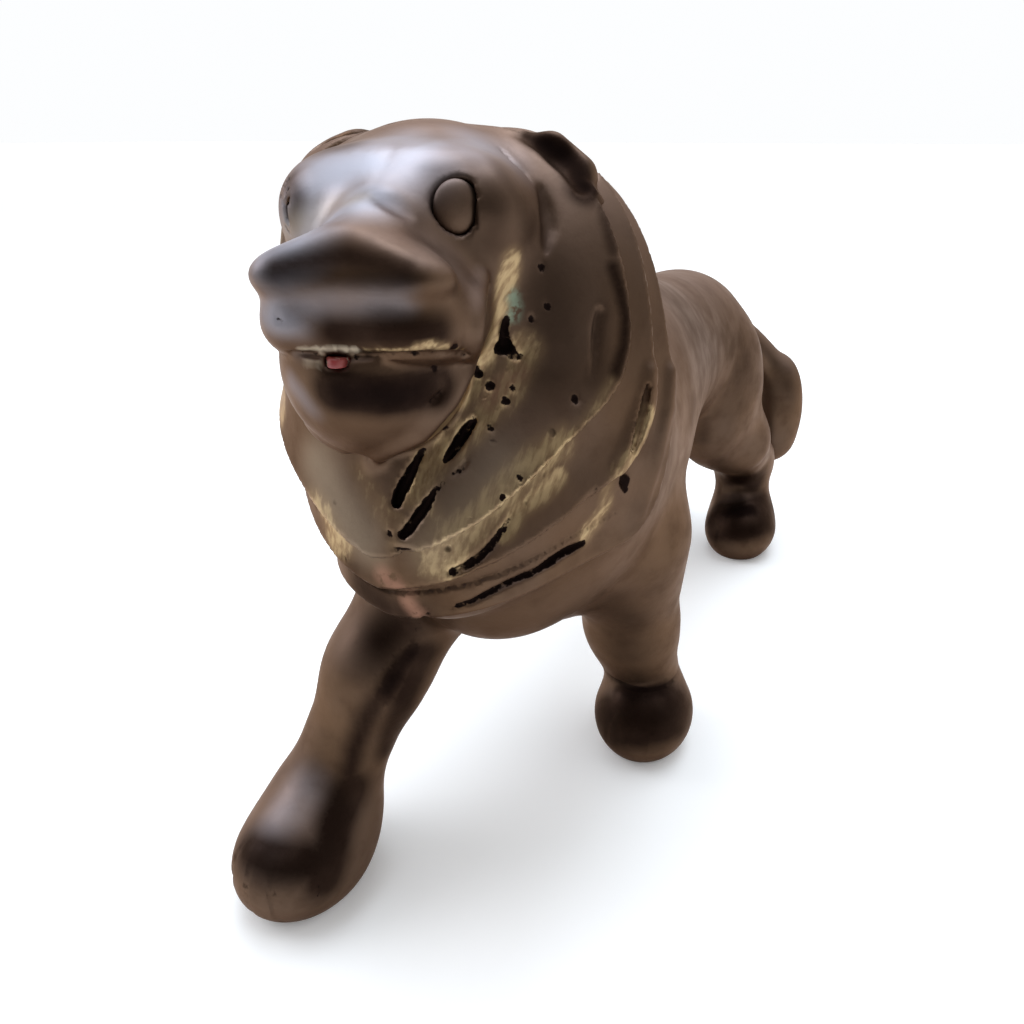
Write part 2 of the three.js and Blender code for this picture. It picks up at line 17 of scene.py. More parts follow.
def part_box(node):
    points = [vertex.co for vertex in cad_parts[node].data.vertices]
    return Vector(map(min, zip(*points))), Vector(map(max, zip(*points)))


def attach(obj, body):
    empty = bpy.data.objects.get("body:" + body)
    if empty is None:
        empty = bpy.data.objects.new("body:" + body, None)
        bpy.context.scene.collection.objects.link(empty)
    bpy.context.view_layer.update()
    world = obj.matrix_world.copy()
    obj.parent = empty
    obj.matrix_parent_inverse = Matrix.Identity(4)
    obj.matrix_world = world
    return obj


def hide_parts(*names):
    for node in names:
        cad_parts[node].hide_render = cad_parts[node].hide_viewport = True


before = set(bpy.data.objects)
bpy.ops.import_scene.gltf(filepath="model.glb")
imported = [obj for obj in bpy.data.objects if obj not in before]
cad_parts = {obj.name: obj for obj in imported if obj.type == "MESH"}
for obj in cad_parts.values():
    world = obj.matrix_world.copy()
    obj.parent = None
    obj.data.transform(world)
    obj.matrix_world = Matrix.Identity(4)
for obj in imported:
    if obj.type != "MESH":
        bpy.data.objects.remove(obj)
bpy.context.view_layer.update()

METRES = 0.001
NEAR_ZERO = 1e-9

# The neck bolt's middle, in working units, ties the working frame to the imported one
BOLT_MIDDLE = np.array([0, -27, 80])
bolt_low, bolt_high = (np.array(corner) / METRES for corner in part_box("neck_bolt"))
SHIFT = (bolt_low + bolt_high) / 2 - BOLT_MIDDLE

# Camera: where it stands, and the photograph that it took
PHOTO_SIZE = 1024
FOCAL_PIXELS = 740
SENSOR_WIDTH = 36
CAMERA_AT = np.array([41.0, -109.0, 106.0])
CAMERA_DOWN, CAMERA_ROUND = 27, 25.5  # degrees
CLIP_START = 0.005  # metres

# Grid steps, in mm
BODY_STEP, MANE_STEP, HEAD_STEP, TAIL_STEP, SMALL_STEP = 0.8, 0.38, 0.38, 0.6, 0.2


# Clay: a form takes points and gives each one's distance from the skin, below zero inside


def turned(tilt=0.0, turn=0.0):
    """Rotation matrix: a tilt about x, then a turn about z, in degrees."""
    a, b = math.radians(tilt), math.radians(turn)
    about_x = np.array([[1, 0, 0], [0, math.cos(a), -math.sin(a)], [0, math.sin(a), math.cos(a)]])
    about_z = np.array([[math.cos(b), -math.sin(b), 0], [math.sin(b), math.cos(b), 0], [0, 0, 1]])
    return about_z @ about_x


def egg(at, half, tilt=0.0, turn=0.0):
    rotation, centre, half = turned(tilt, turn), np.array(at, float), np.array(half, float)

    def form(p):
        q = ((p - centre) @ rotation) / half
        reach = norm(q, axis=1)
        slope = norm(q / half, axis=1)
        return reach * (reach - 1) / np.maximum(slope, NEAR_ZERO)

    return form


def taper(start, end, radii):
    """A round bar with a round end of its own radius at each end."""
    start = np.array(start, float)
    along = np.array(end, float) - start
    length = norm(along)
    along = along / length
    lean = (radii[0] - radii[1]) / length
    slant = math.sqrt(max(1 - lean * lean, 0))

    def form(p):
        q = p - start
        run = q @ along
        off = np.sqrt(np.maximum((q * q).sum(1) - run * run, 0))
        side = run * slant - off * lean
        near = np.hypot(run, off) - radii[0]
        far = np.hypot(run - length, off) - radii[1]
        wall = off * slant + run * lean - radii[0]
        return np.where(side < 0, near, np.where(side > length * slant, far, wall))

    return form


def press(a, b, blend):
    """Two distances pressed together, with a fillet about as wide as the blend."""
    share = np.clip(0.5 + 0.5 * (b - a) / blend, 0, 1)
    return b + (a - b) * share - blend * share * (1 - share)


def cut_back(a, b, blend):
    """The greater of two distances, rounded where they meet."""
    return -press(-a, -b, blend)


def smooth(blend, *forms):
    def form(p):
        total = forms[0](p)
        for other in forms[1:]:
            total = press(total, other(p), blend)
        return total

    return form


def chain(joints, blend):
    """Tapers from joint to joint, pressed together."""
    links = [taper(a[:3], b[:3], (a[3], b[3])) for a, b in zip(joints, joints[1:])]
    return smooth(blend, *links)


def both_sides(form):
    """A form and its mirror image."""
    def mirrored(p):
        q = p.copy()
        q[:, 0] = np.abs(q[:, 0])
        return form(q)

    return mirrored


def in_frame(form, at, rotation):
    origin = np.array(at, float)
    return lambda p: form((p - origin) @ rotation)


# Trunk, mane and legs, as the castings have them
TRUNK_BLEND, LEG_BLEND, HAUNCH_BLEND, PAW_BLEND, MANE_BLEND = 11, 5, 7, 2, 7
TAIL_BLEND, TAIL_SMOOTH, TUFT_BLEND = 2.5, 0.6, 4
NECK_UNDERCUT = 0.4
PAW_MIDDLE, PAW_RISE, FREE_LEG_TOP = 6.5, 9.6, 22
mane_skin = smooth(
    MANE_BLEND,
    egg((1.5, -26, 73), (19.8, 20, 29), tilt=18),
    egg((0.5, -42, 69), (13.5, 13, 16)),
    egg((0.8, -29, 91.5), (14.5, 12, 13.5)),
    egg((-7.5, -40, 80), (11.5, 11.5, 13)),
)
# A leg's joints are x, y, z and radius. Its paw has a middle, half widths and a turn. Its seam is a
# share of the way down the first joint's taper, with the radius that it reaches
LEGS = {
    "front_left_leg": {
        "joints": [(12, -5, 48, 10.5), (12.4, 2, 26, 7.6), (14.8, 5.5, 12, 7)],
        "paw": ((16.3, 2.2), (9.3, 10.5), 0),
        "seam": (0.74, 12),
    },
    "front_right_leg": {
        "joints": [(-11.5, -22, 50, 10.5), (-17.5, -35, 32, 7.3), (-22.5, -43, 14, 7.1)],
        "paw": ((-22.6, -50.5), (10, 12), -8),
        "seam": (0.3, 12.5),
        "ankle": 8,
    },
    "rear_left_leg": {
        "haunch": ((10.5, 75, 48), (10.5, 17, 19), 12),
        "joints": [(15.5, 82, 34, 8.8), (16.6, 95, 24, 7.2), (17.5, 96, 12, 6.8)],
        "paw": ((19.4, 87.5), (9.6, 11.5), 0),
        "seam": (0.45, 11.5),
        "ankle": 7,
    },
    "rear_right_leg": {
        "haunch": ((-10.5, 79, 48), (10.5, 17, 19), 18),
        "joints": [(-15, 86, 34, 8.8), (-16, 101, 24, 7.2), (-17, 104, 12, 6.8)],
        "paw": ((-18.5, 98), (9.4, 11.5), 0),
        "seam": (0.45, 11.5),
        "ankle": 7,
    },
}


def leg_form(leg):
    (x, y), (wide, deep), turn = leg["paw"]
    paw = egg((x, y, PAW_MIDDLE), (wide, deep, PAW_RISE), turn=turn)
    limb = chain(leg["joints"], LEG_BLEND)
    if "haunch" in leg:
        at, half, tilt = leg["haunch"]
        limb = smooth(HAUNCH_BLEND, egg(at, half, tilt=tilt), limb)
    whole = smooth(leg.get("ankle", PAW_BLEND), limb, paw)
    return lambda p: np.maximum(whole(p), -p[:, 2])  # the ground cuts the sole flat


TAIL = [
    (0, 88, 63, 4.8), (7, 99.5, 59, 4.4), (14.5, 105.5, 51.5, 4.6),
    (19.6, 108.5, 43.5, 5.4), (21.6, 109.4, 35, 6.2), (21.9, 109.2, 26.5, 6),
]
TAIL_SEAM = 0.62  # share of the way from the tail's first joint to its second
body_form = smooth(
    TAIL_BLEND,
    smooth(
        LEG_BLEND,
        smooth(
            TRUNK_BLEND,
            egg((0, -6, 59), (18.5, 24, 27)),
            egg((0, 10, 66), (17, 28, 20)),
            egg((0, 42, 63.5), (15, 36, 17)),
            egg((0, 72, 57), (17, 21, 19)),
            lambda p: mane_skin(p) + NECK_UNDERCUT,
        ),
        egg((-1, -28, 53), (13, 12, 12)),
        *(leg_form(leg) for leg in LEGS.values()),
    ),
    chain(TAIL[:2], TAIL_BLEND),
)


def spline(joints, parts=5):
    """The joints with more between them, on a Catmull-Rom curve through them all."""
    ends = [joints[0], *joints, joints[-1]]
    out = []
    for a, b, c, d in zip(*(np.array(ends[i:len(ends) - 3 + i], float) for i in range(4))):
        for share in np.arange(parts) / parts:
            second, third = 2 * a - 5 * b + 4 * c - d, 3 * b - 3 * c + d - a
            bend = (c - a) * share + second * share**2 + third * share**3
            out.append(b + bend / 2)
    return [*out, np.array(joints[-1], float)]


tuft = egg((21.4, 109, 35), (6.6, 6.8, 15), tilt=-3)
tail_form = smooth(TUFT_BLEND, chain(spline(TAIL), TAIL_SMOOTH), tuft)

# Rows of locks, seen from the side: arc centre (y, z), radius and beard end (y, z)
INNER_ROW = ((-45.2, 85.7), 10.8, (-58, 66.5))
MIDDLE_ROW = ((-41, 77), 9.6, (-57, 63))
OUTER_ROW = ((-32.6, 62), 5, (-53.5, 58.5))
ROW_VEE, ROW_LEAN = 0.24, 8
LOCK_RISE, LOCK_SLOPE = 1.7, 7.0
LIP_ROUND, ROW_BLEND = 0.6, 0.4
HIDDEN_LAP = 3  # how far a row runs on under the row that lies over it


def behind(row):
    """How far a point lies behind a row's edge."""
    (arc_y, arc_z), radius, (beard_y, beard_z) = row
    lean = -math.radians(ROW_LEAN)
    dy, dz = beard_y - arc_y, beard_z - arc_z
    touch = math.atan2(dz, dy) + math.acos(min(radius / math.hypot(dy, dz), 1))

    def form(p):
        y = p[:, 1] - arc_y
        z = p[:, 2] - arc_z - ROW_VEE * np.abs(p[:, 0])
        angle = np.arctan2(z, y)
        upper = y * math.cos(lean) + z * math.sin(lean) - radius
        lower = y * math.cos(touch) + z * math.sin(touch) - radius
        return np.where(angle > lean, upper, np.where(angle > touch, np.hypot(y, z) - radius, lower))

    return form


behind_inner, behind_middle, behind_outer = behind(INNER_ROW), behind(MIDDLE_ROW), behind(OUTER_ROW)


def row_form(edge):
    """The mane's skin, lifted towards a row's edge."""

    def form(p):
        past = edge(p)
        share = np.clip(1 + np.where(past < 0, past, -past) / LOCK_SLOPE, 0, 1)
        return mane_skin(p) - LOCK_RISE * share * share

    return form


# Head, in its own frame: x to the lion's right, y forward, z up. The ears' frame turns half as far
HEAD_AT, HEAD_TURN, HEAD_LIFT = (-1.6, -43, 92.6), 16, 9
HEAD_ROTATION = turned(HEAD_LIFT, 180 + HEAD_TURN)
EARS_AT, EARS_TURN = (-2, -40, 92.6), 8
EAR_ROTATION = turned(0, 180 + EARS_TURN)
HEAD_BLEND, NOSE_BLEND, UPPER_LIP_BLEND, EAR_BLEND = 4, 2.2, 1.5, 0.9
LIP_CREASE, JAW_CREASE = 0.3, 1.1
EYES = {"right": ((9.4, 5.7, 6.4), -66), "left": ((-6.5, 8.4, 6.5), 36)}
EYE_HALF, EYE_GROOVE = (2.2, 0.95, 2.35), 0.15

face_form = smooth(
    HEAD_BLEND,
    egg((0, -9, 1.5), (15.5, 17, 14.8)),
    both_sides(egg((10.5, -12, 5), (7.5, 9.5, 10.5))),
    both_sides(egg((6.3, 3, 6.5), (5.6, 6, 5))),
    taper((0, 4, 6), (0, 16.5, 2.0), (5.2, 2.5)),
    egg((0, 9.5, -2), (8.9, 11.3, 5.8)),
    both_sides(egg((8.3, -7, -4), (8, 9.4, 11))),
    egg((0, 4.5, -5.5), (6.8, 10.5, 6.5)),
)
nose_block = smooth(NOSE_BLEND, face_form, egg((0, 17.0, 0.5), (8.5, 5.4, 3.2)))
# The nose's front is two flat faces that meet in a level edge
NOSE_EDGE, NOSE_UPPER, NOSE_LOWER = (0, 20.9, 0.2), (0, 0.94, 0.34), (0, 0.96, -0.28)
NOSE_ROUND = 0.7


def nose_cut(p):
    upper, lower = ((p - NOSE_EDGE) @ np.array(way) for way in (NOSE_UPPER, NOSE_LOWER))
    return cut_back(upper, lower, NOSE_ROUND)


upper_lip = smooth(
    UPPER_LIP_BLEND,
    lambda p: cut_back(nose_block(p), nose_cut(p), NOSE_ROUND),
    both_sides(egg((4.1, 11.2, -3.2), (5.3, 9.3, 3.9))),
)
mouth_form = smooth(LIP_CREASE, upper_lip, egg((0.7, 9.2, -6.7), (8.5, 10.5, 9)))
# An ear's hollow runs from its front corner over its deepest place to its lowest corner
EAR_FRONT, EAR_DEEP, EAR_LOW = (8.4, -6.3, 13.9), (13.1, -5.9, 12.1), (15.5, -4.4, 8.9)


def in_ears(form):
    return in_frame(both_sides(form), EARS_AT, EAR_ROTATION)


ear_rim = in_ears(taper((11, -8.6, 11.6), (13.8, -8.2, 9.4), (2.2, 2.4)))
ear_hollow = in_ears(
    smooth(EAR_BLEND, taper(EAR_FRONT, EAR_DEEP, (0.5, 1.7)), taper(EAR_DEEP, EAR_LOW, (1.7, 0.7)))
)
ear_room = in_ears(egg((12.9, -8.4, 10.7), (6, 6, 6)))


def in_head(form):
    return in_frame(form, HEAD_AT, HEAD_ROTATION)


def eye_form(side, grow=0.0):
    at, yaw = EYES[side]
    return in_head(egg(at, [half + grow for half in EYE_HALF], turn=yaw))


right_room, left_room = eye_form("right", EYE_GROOVE), eye_form("left", EYE_GROOVE)
SLOT_AT, SLOT_HALF, TONGUE_GAP = (0.75, 16.5, -5.95), (1.35, 3.7, 0.45), 0.04


def slot_form(p, shrink=0.0):
    """The mouth's slot: an oval disc. Shrunk, it is the tongue that fills it."""
    q = np.abs((p - HEAD_AT) @ HEAD_ROTATION - SLOT_AT)
    side = (np.hypot(q[:, 0] / SLOT_HALF[0], q[:, 1] / SLOT_HALF[1]) - 1) * SLOT_HALF[0]
    return cut_back(side, q[:, 2] - SLOT_HALF[2], shrink) + shrink


def head_clay(p):
    """The head without its marks, its eyes' grooves and its slot."""
    head = press(in_head(mouth_form)(p), row_form(behind_inner)(p), JAW_CREASE)
    head = press(head, ear_rim(p), EAR_BLEND)
    return cut_back(head, -ear_hollow(p), EAR_BLEND)


def whole_clay(p):
    """All the skin that the camera sees, for setting marks down on it."""
    mane = np.minimum(row_form(behind_middle)(p), row_form(behind_outer)(p))
    return np.minimum(np.minimum(head_clay(p), mane), body_form(p))


# Camera rays: a mark that is placed by a pixel lies where its ray meets the clay
down, around = math.radians(CAMERA_DOWN), math.radians(CAMERA_ROUND)
LOOK = np.array([-math.sin(around) * math.cos(down), math.cos(around) * math.cos(down), -math.sin(down)])
RIGHT = np.array([math.cos(around), math.sin(around), 0])
UP = np.cross(RIGHT, LOOK)
RAY_START, RAY_END, RAY_STEP, RAY_FINE = 40, 300, 1.0, 0.05


def on_skin(pixels):
    """The points where the pixels' rays first meet the clay."""
    across, drop = (np.array(pixels) - PHOTO_SIZE / 2).T / FOCAL_PIXELS
    ways = LOOK + np.outer(across, RIGHT) - np.outer(drop, UP)
    ways = ways / norm(ways, axis=1)[:, None]
    start = np.full(len(ways), float(RAY_START))
    for reach, step in ((RAY_END - RAY_START, RAY_STEP), (2 * RAY_STEP, RAY_FINE)):
        run = start[:, None] + np.arange(0, reach, step)
        points = CAMERA_AT + run[:, :, None] * ways[:, None, :]
        inside = whole_clay(points.reshape(-1, 3)).reshape(run.shape) < 0
        ways, run, inside = (rows[inside.any(1)] for rows in (ways, run, inside))
        start = run[np.arange(len(run)), inside.argmax(1)] - RAY_STEP
    return CAMERA_AT + (start + RAY_STEP)[:, None] * ways


def between(pixels, gap=5):
    """More pixels along a line, about a gap apart."""
    out = [pixels[0]]
    for (ax, ay), (bx, by) in zip(pixels, pixels[1:]):
        count = max(int(math.hypot(bx - ax, by - ay) / gap), 1)
        out += [(ax + (bx - ax) * i / count, ay + (by - ay) * i / count) for i in range(1, count + 1)]
    return out


# Marks in the skin, placed by the photograph's pixels. A mark with a twin is copied to the side
# that the photograph doesn't show.
# Gashes and creases: width and depth in mm, how black, where the swelling starts and ends, if it
# has a twin, then the line
FULL, HEAVY_START, HEAVY_END = (0.12, 0.88), (0.34, 0.97), (0.05, 0.6)
GASHES = {
    "throat, lower": (1.25, 1.1, 1.0, HEAVY_START, True, [
        (396, 503), (401, 490), (407, 479), (416, 462), (424, 450)]),
    "throat, upper": (1.05, 0.9, 1.0, FULL, False, [(446, 459), (456, 446), (468, 427), (474, 419)]),
    "throat, outer": (1.05, 0.9, 1.0, HEAVY_START, True, [
        (403, 535), (413, 523), (424, 508), (433, 494), (443, 483)]),
    "breast, first": (0.7, 0.5, 0.9, HEAVY_START, True, [
        (452, 573), (467, 566), (480, 557), (493, 543), (505, 528), (521, 505)]),
    "breast, short": (0.6, 0.4, 0.9, HEAVY_START, True, [
        (439, 592), (455, 587), (470, 579), (480, 570), (493, 565)]),
    "breast, long": (0.55, 0.35, 0.8, FULL, True, [
        (505, 561), (524, 555), (544, 543), (559, 530), (574, 515), (587, 500), (597, 489)]),
    "collar, thin end": (0.7, 0.6, 0.9, HEAVY_END, True, [
        (447, 608), (472, 602), (491, 592), (513, 581), (533, 573)]),
    "collar, thick end": (1.1, 0.9, 1.0, FULL, True, [(533, 573), (549, 563), (564, 553), (584, 543)]),
    "collar, scratch": (0.5, 0.3, 0.6, FULL, False, [(571, 575), (586, 570), (601, 564)]),
    "shoulder, hole": (1.45, 1.1, 1.0, FULL, False, [(628.5, 475), (627.5, 483), (626.5, 491)]),
    "cheek hole": (1.5, 1.0, 1.0, FULL, False, [(498, 349), (505, 346), (512, 351)]),
    "cheek hole, stem": (0.8, 0.7, 1.0, FULL, False, [(506, 319), (504, 332), (506, 344)]),
    "cheek hole, tail": (0.6, 0.4, 0.9, FULL, False, [(508, 354), (515, 357), (522, 357)]),
    "ruff, groove": (1.1, 0.45, 0.3, HEAVY_START, True, [(600, 312), (597, 328), (595, 350), (592, 378)]),
    "groove before ear": (0.6, 0.3, 0.6, FULL, True, [(501, 149), (514, 162), (524, 171), (531, 181)]),
    "hollow below ear": (2.2, 0.6, 0.1, FULL, True, [(541, 188), (546, 206), (549, 226), (546, 250)]),
    "outer row, groove": (1.3, 0.5, 0.2, FULL, True, [(647, 385), (643, 410), (637, 432), (630, 452)]),
    "nostril": (0.4, 0.3, 0.9, FULL, False, [(275, 317), (281, 321)]),
    "gap by braze": (0.8, 0.5, 0.8, FULL, False, [(430, 612), (423, 622), (416, 632), (412, 640)]),
    "reaching paw, crack": (0.6, 0.35, 0.8, FULL, False, [(316, 880), (317, 890), (319, 901)]),
    "reaching paw, scratch": (0.4, 0.25, 0.6, FULL, False, [(263, 840), (252, 858)]),
    "standing paw, crack": (0.6, 0.35, 0.6, FULL, False, [(636, 724), (636, 742)]),
    "flank, scratch": (0.5, 0.3, 0.3, FULL, False, [(705, 418), (711, 440)]),
    "cheek fold": (1.0, 0.5, 0.0, FULL, True, [
        (487, 285), (483, 315), (480, 340), (473, 366), (457, 400), (428, 438)]),
    "mouth line": (0.55, 0.4, 0.75, (0.3, 0.7), False, [
        (292, 353), (315, 355), (345, 356), (380, 356), (420, 355), (466, 353)]),
    "eye socket": (5.0, 0.4, 0.0, FULL, True, [(376, 195), (392, 204), (408, 214)]),
    "chin, scratch": (0.5, 0.3, 0.8, FULL, False, [(428, 404), (437, 398), (444, 388)]),
    "throat, scratch": (0.5, 0.3, 0.8, FULL, False, [(452, 476), (462, 468), (470, 456)]),
    "beard, nick": (0.7, 0.4, 0.8, FULL, False, [(394, 549), (404, 552), (412, 550)]),
}
# Pits: width in mm and the middle
PITS = {
    "temple": (0.5, (541, 267)), "ruff, upper": (0.35, (547, 306)), "cheek, back": (0.35, (531, 319)),
    "ruff, lower": (0.55, (575, 399)), "throat, middle": (0.35, (490, 427)),
    "throat, back": (0.55, (505, 400)), "breast, front": (0.4, (503, 497)), "beard": (0.4, (389, 533)),
    "cheek, low front": (0.8, (477, 371)), "cheek, low middle": (0.6, (489, 385)),
    "breast, upper": (0.35, (520, 478)), "breast, lower": (0.35, (517, 512)),
    "throat, front": (0.35, (445, 428)), "middle row, upper": (0.35, (602, 417)),
    "middle row, lower": (0.35, (568, 445)), "mouth's corner": (0.4, (454, 347)),
    "lower lip": (0.35, (433, 368)), "cheek, low back": (0.35, (512, 388)), "outer row": (0.35, (600, 499)),
}
# Raised lines along the locks: width and height in mm, if it has a twin, then the line
RIDGES = {
    "cheek fold": (1.8, 0.6, True, [
        (482, 280), (478, 315), (475, 340), (467, 368), (451, 399), (421, 435), (372, 460)]),
    "middle row": (1.4, 0.4, True, [(651, 372), (647, 398), (635, 433), (620, 466)]),
    "outer row": (1.4, 0.4, True, [(671, 372), (668, 408), (661, 438), (651, 479), (641, 512)]),
}
# Painted marks, by mask: radius in mm, strength, if it has a twin, then the line
PAINT = {}
PAINT["wear"] = {
    "cheek, long": (2.6, 1.0, True, [
        (511, 262), (504, 290), (498, 318), (488, 350), (474, 384), (454, 414), (432, 436)]),
    "throat, broad": (3.6, 0.8, True, [
        (525, 350), (508, 385), (484, 414), (460, 436), (434, 460), (412, 490)]),
    "cheek, top": (1.4, 1.3, False, [(512, 268), (508, 285), (500, 310)]),
    "breast, broad": (4.4, 1.15, True, [
        (440, 560), (462, 540), (485, 520), (512, 494), (540, 468), (566, 450)]),
    "breast, middle": (2.0, 1.4, True, [(452, 548), (475, 530), (500, 510)]),
    "breast, upper": (2.2, 1.0, True, [(505, 532), (523, 508), (543, 494), (560, 477)]),
    "middle row": (2.0, 0.5, True, [(565, 442), (585, 422), (600, 404), (612, 384)]),
    "mouth's edge": (0.5, 0.9, False, [(366, 350), (400, 350), (429, 348), (462, 350)]),
    "mouth's corner": (0.9, 1.0, False, [(417, 347), (430, 345), (446, 347)]),
    "outer row": (2.6, 0.75, True, [(584, 536), (606, 508), (622, 470), (638, 446), (648, 415)]),
    "beard, right side": (2.0, 0.45, True, [(380, 500), (400, 520), (392, 545)]),
    "beard, left side": (2.2, 0.5, False, [(425, 500), (440, 520), (430, 545)]),
    "beard, right edge": (3.0, 0.4, True, [(360, 470), (375, 505), (395, 535)]),
}
PAINT["shade"] = {
    "under middle row": (1.5, 1.0, True, [(613, 268), (620, 290), (626, 318), (624, 345), (616, 372)]),
    "behind ear": (1.4, 0.7, True, [(603, 208), (608, 230), (613, 250)]),
    "below ear": (2.0, 0.7, True, [(541, 190), (547, 215), (547, 245)]),
    "ruff, groove": (2.6, 0.45, True, [(601, 315), (597, 350), (592, 378)]),
    "ear's hollow": (3.0, 1.9, True, [(536, 143), (556, 154), (572, 170), (582, 192)]),
    "nose's front": (2.8, 1.0, False, [(275, 268), (310, 262), (345, 256), (385, 264), (405, 270)]),
    "upper lip": (2.8, 1.1, False, [(335, 332), (390, 333), (440, 330)]),
    "chin's front": (3.2, 1.8, False, [(335, 391), (385, 396), (438, 388)]),
    "right eye": (2.0, 0.8, False, [(291, 180), (297, 200), (292, 220)]),
    "eye's inner corner": (2.4, 0.6, True, [(372, 194), (392, 203), (412, 215)]),
    "eyelid": (3.0, 0.55, True, [(440, 170), (470, 168), (500, 200), (490, 240)]),
    "temple": (3.0, 0.5, True, [(500, 170), (520, 200), (530, 230)]),
    "inner row": (6.0, 0.5, True, [(545, 270), (555, 300), (560, 350), (552, 375)]),
    "reaching leg, inside": (3.2, 1.5, False, [(414, 652), (400, 668), (384, 695)]),
    "reaching leg, low": (3.5, 1.0, False, [(376, 702), (366, 720), (354, 750), (348, 790), (340, 815)]),
    "reaching paw, inside": (5.5, 1.4, False, [(352, 790), (338, 820), (330, 860), (325, 880)]),
    "reaching leg, back": (5.0, 1.2, False, [(425, 655), (405, 700), (390, 745)]),
    "reaching leg, top": (7.0, 1.0, False, [(365, 590), (385, 610), (410, 620), (380, 640)]),
    "reaching paw, front": (6.0, 1.2, False, [(250, 850), (275, 858), (310, 862)]),
    "standing paw, ring": (4.5, 1.8, False, [(622, 698), (645, 699), (668, 696)]),
    "standing paw": (9.0, 1.8, False, [(606, 722), (640, 722), (678, 714)]),
    "standing leg": (7.0, 0.5, False, [(628, 620), (628, 653)]),
    "rear paw": (10.0, 2.0, False, [(716, 520), (742, 520), (770, 512)]),
    "rear ankle": (7.0, 1.4, False, [(728, 478), (755, 480)]),
    "haunch": (19.0, 0.6, False, [(690, 320), (725, 340), (745, 370)]),
    "back": (12.0, 0.3, False, [(650, 290), (690, 290)]),
    "flank": (3.0, 0.5, False, [(703, 440), (705, 420)]),
}
# Painted shade and painted dark reflections: black laid on the ear's hollow, the reaching leg's inside, the
# standing paw's ring, the rear paw and the chin's front
PAINT["black_and_painted_shade"] = {
    "ear's hollow": (2.2, 0.75, True, [(545, 146), (562, 153), (576, 166), (583, 190)]),
    "reaching leg, streak": (2.2, 0.55, False, [(414, 652), (400, 668), (386, 690)]),
    "standing paw, ring": (3.0, 0.5, False, [(624, 694), (645, 695), (664, 692)]),
    "rear paw": (4.0, 0.8, False, [(730, 512), (752, 510)]),
    "chin's front": (3.0, 0.7, False, [(340, 393), (385, 397), (428, 392)]),
}
PAINT["copper"] = {
    "braze": (1.8, 0.85, False, [(383, 575), (395, 585), (405, 597), (411, 606), (417, 613)]),
    "throat": (1.6, 0.5, True, [(520, 372), (500, 386), (488, 402)]),
}
PAINT["verdigris"] = {
    "cheek": (1.3, 0.8, False, [(513, 297), (515, 306), (513, 315)]),
}
# Pale paint traces along the mouth's rims; on the nose's ridge and the beard's side these are painted
# highlights, and on the breast a faint paling
PAINT["pale_trace_and_highlight"] = {
    "nose's ridge": (2.4, 0.3, False, [(272, 243), (300, 223), (330, 209), (352, 200)]),
    "upper rim": (0.45, 1.0, False, [(301, 349), (330, 350), (357, 351)]),
    "lower rim": (0.5, 0.7, False, [(306, 362), (318, 364)]),
    "beard, right side": (5.0, 0.32, True, [(318, 465), (336, 505), (360, 542)]),
    "breast": (5.0, 0.2, True, [(500, 465), (460, 510), (425, 552)]),
}
# Painted highlight: a lavender sheen that stands in for the sky's reflection on the brow, nose, lips,
# crown, chin and paw
PAINT["painted_sheen"] = {
    "brow": (9.0, 1.0, False, [(330, 180), (370, 160), (400, 148)]),
    "nose's ridge": (6.0, 1.2, False, [(284, 244), (308, 230), (336, 214), (354, 198)]),
    "nose's side": (4.0, 0.8, False, [(262, 300), (280, 325)]),
    "upper lip": (2.4, 0.5, False, [(290, 306), (340, 305), (400, 300)]),
    "crown": (7.0, 0.5, False, [(430, 145), (480, 145)]),
    "chin": (2.0, 0.6, False, [(292, 386), (311, 411)]),
    "reaching paw": (5.5, 0.3, False, [(305, 790), (285, 815), (270, 835)]),
}
MASKS = ("gash", *PAINT)
SLOPE_NUDGE = 0.05
MARK_REACH = 3.0
MIDDLE_X = 0.8
TWIN_PASSES = 6
TWIN_CLEAR = 0.15  # a twin that faces the camera more than this is left out


def slope_at(form, p):
    """Which way a form's distance grows, as unit vectors."""
    here = form(p)
    found = np.stack([form(p + SLOPE_NUDGE * way) - here for way in np.eye(3)], 1) / SLOPE_NUDGE
    return here, found / np.maximum(norm(found, axis=1), NEAR_ZERO)[:, None]


def twin(points):
    """The same marks on the other side, drawn back onto the skin."""
    other = points * [-1, 1, 1] + [2 * MIDDLE_X, 0, 0]
    for _ in range(TWIN_PASSES):
        here, out = slope_at(whole_clay, other)
        other = other - here[:, None] * out
    ray = other - CAMERA_AT
    return other[(ray * out).sum(1) > -TWIN_CLEAR * norm(ray, axis=1)]


def lines_on_skin(marks):
    """Each mark's settings, and its points on the skin, for both sides where it has a twin."""
    for *settings, has_twin, pixels in marks.values():
        points = on_skin(between(pixels))
        yield settings, points
        other = twin(points) if has_twin else points[:0]
        if len(other) > 1:
            yield settings, other


def stroke(points, radii):
    """A line of tapering bars. Away from it the distance is only known to be above the reach."""
    low, high = points.min(0) - MARK_REACH, points.max(0) + MARK_REACH
    bars = [taper(a, b, r) for a, b, r in zip(points, points[1:], zip(radii, radii[1:]))]

    def form(p):
        out = np.full(len(p), MARK_REACH)
        near = ((p > low) & (p < high)).all(1)
        if near.any():
            out[near] = np.minimum.reduce([bar(p[near]) for bar in bars] + [out[near]])
        return out

    return form


def swelling(count, span=FULL):
    """How a line's thickness grows and dies away along it."""
    return np.sin(np.pi * np.linspace(*span, count))


def sunk(points, radii, depths):
    """A stroke set into the skin, so that its deepest line lies at the depths."""
    _, out = slope_at(whole_clay, points)
    return stroke(points + out * (radii - depths)[:, None], radii)


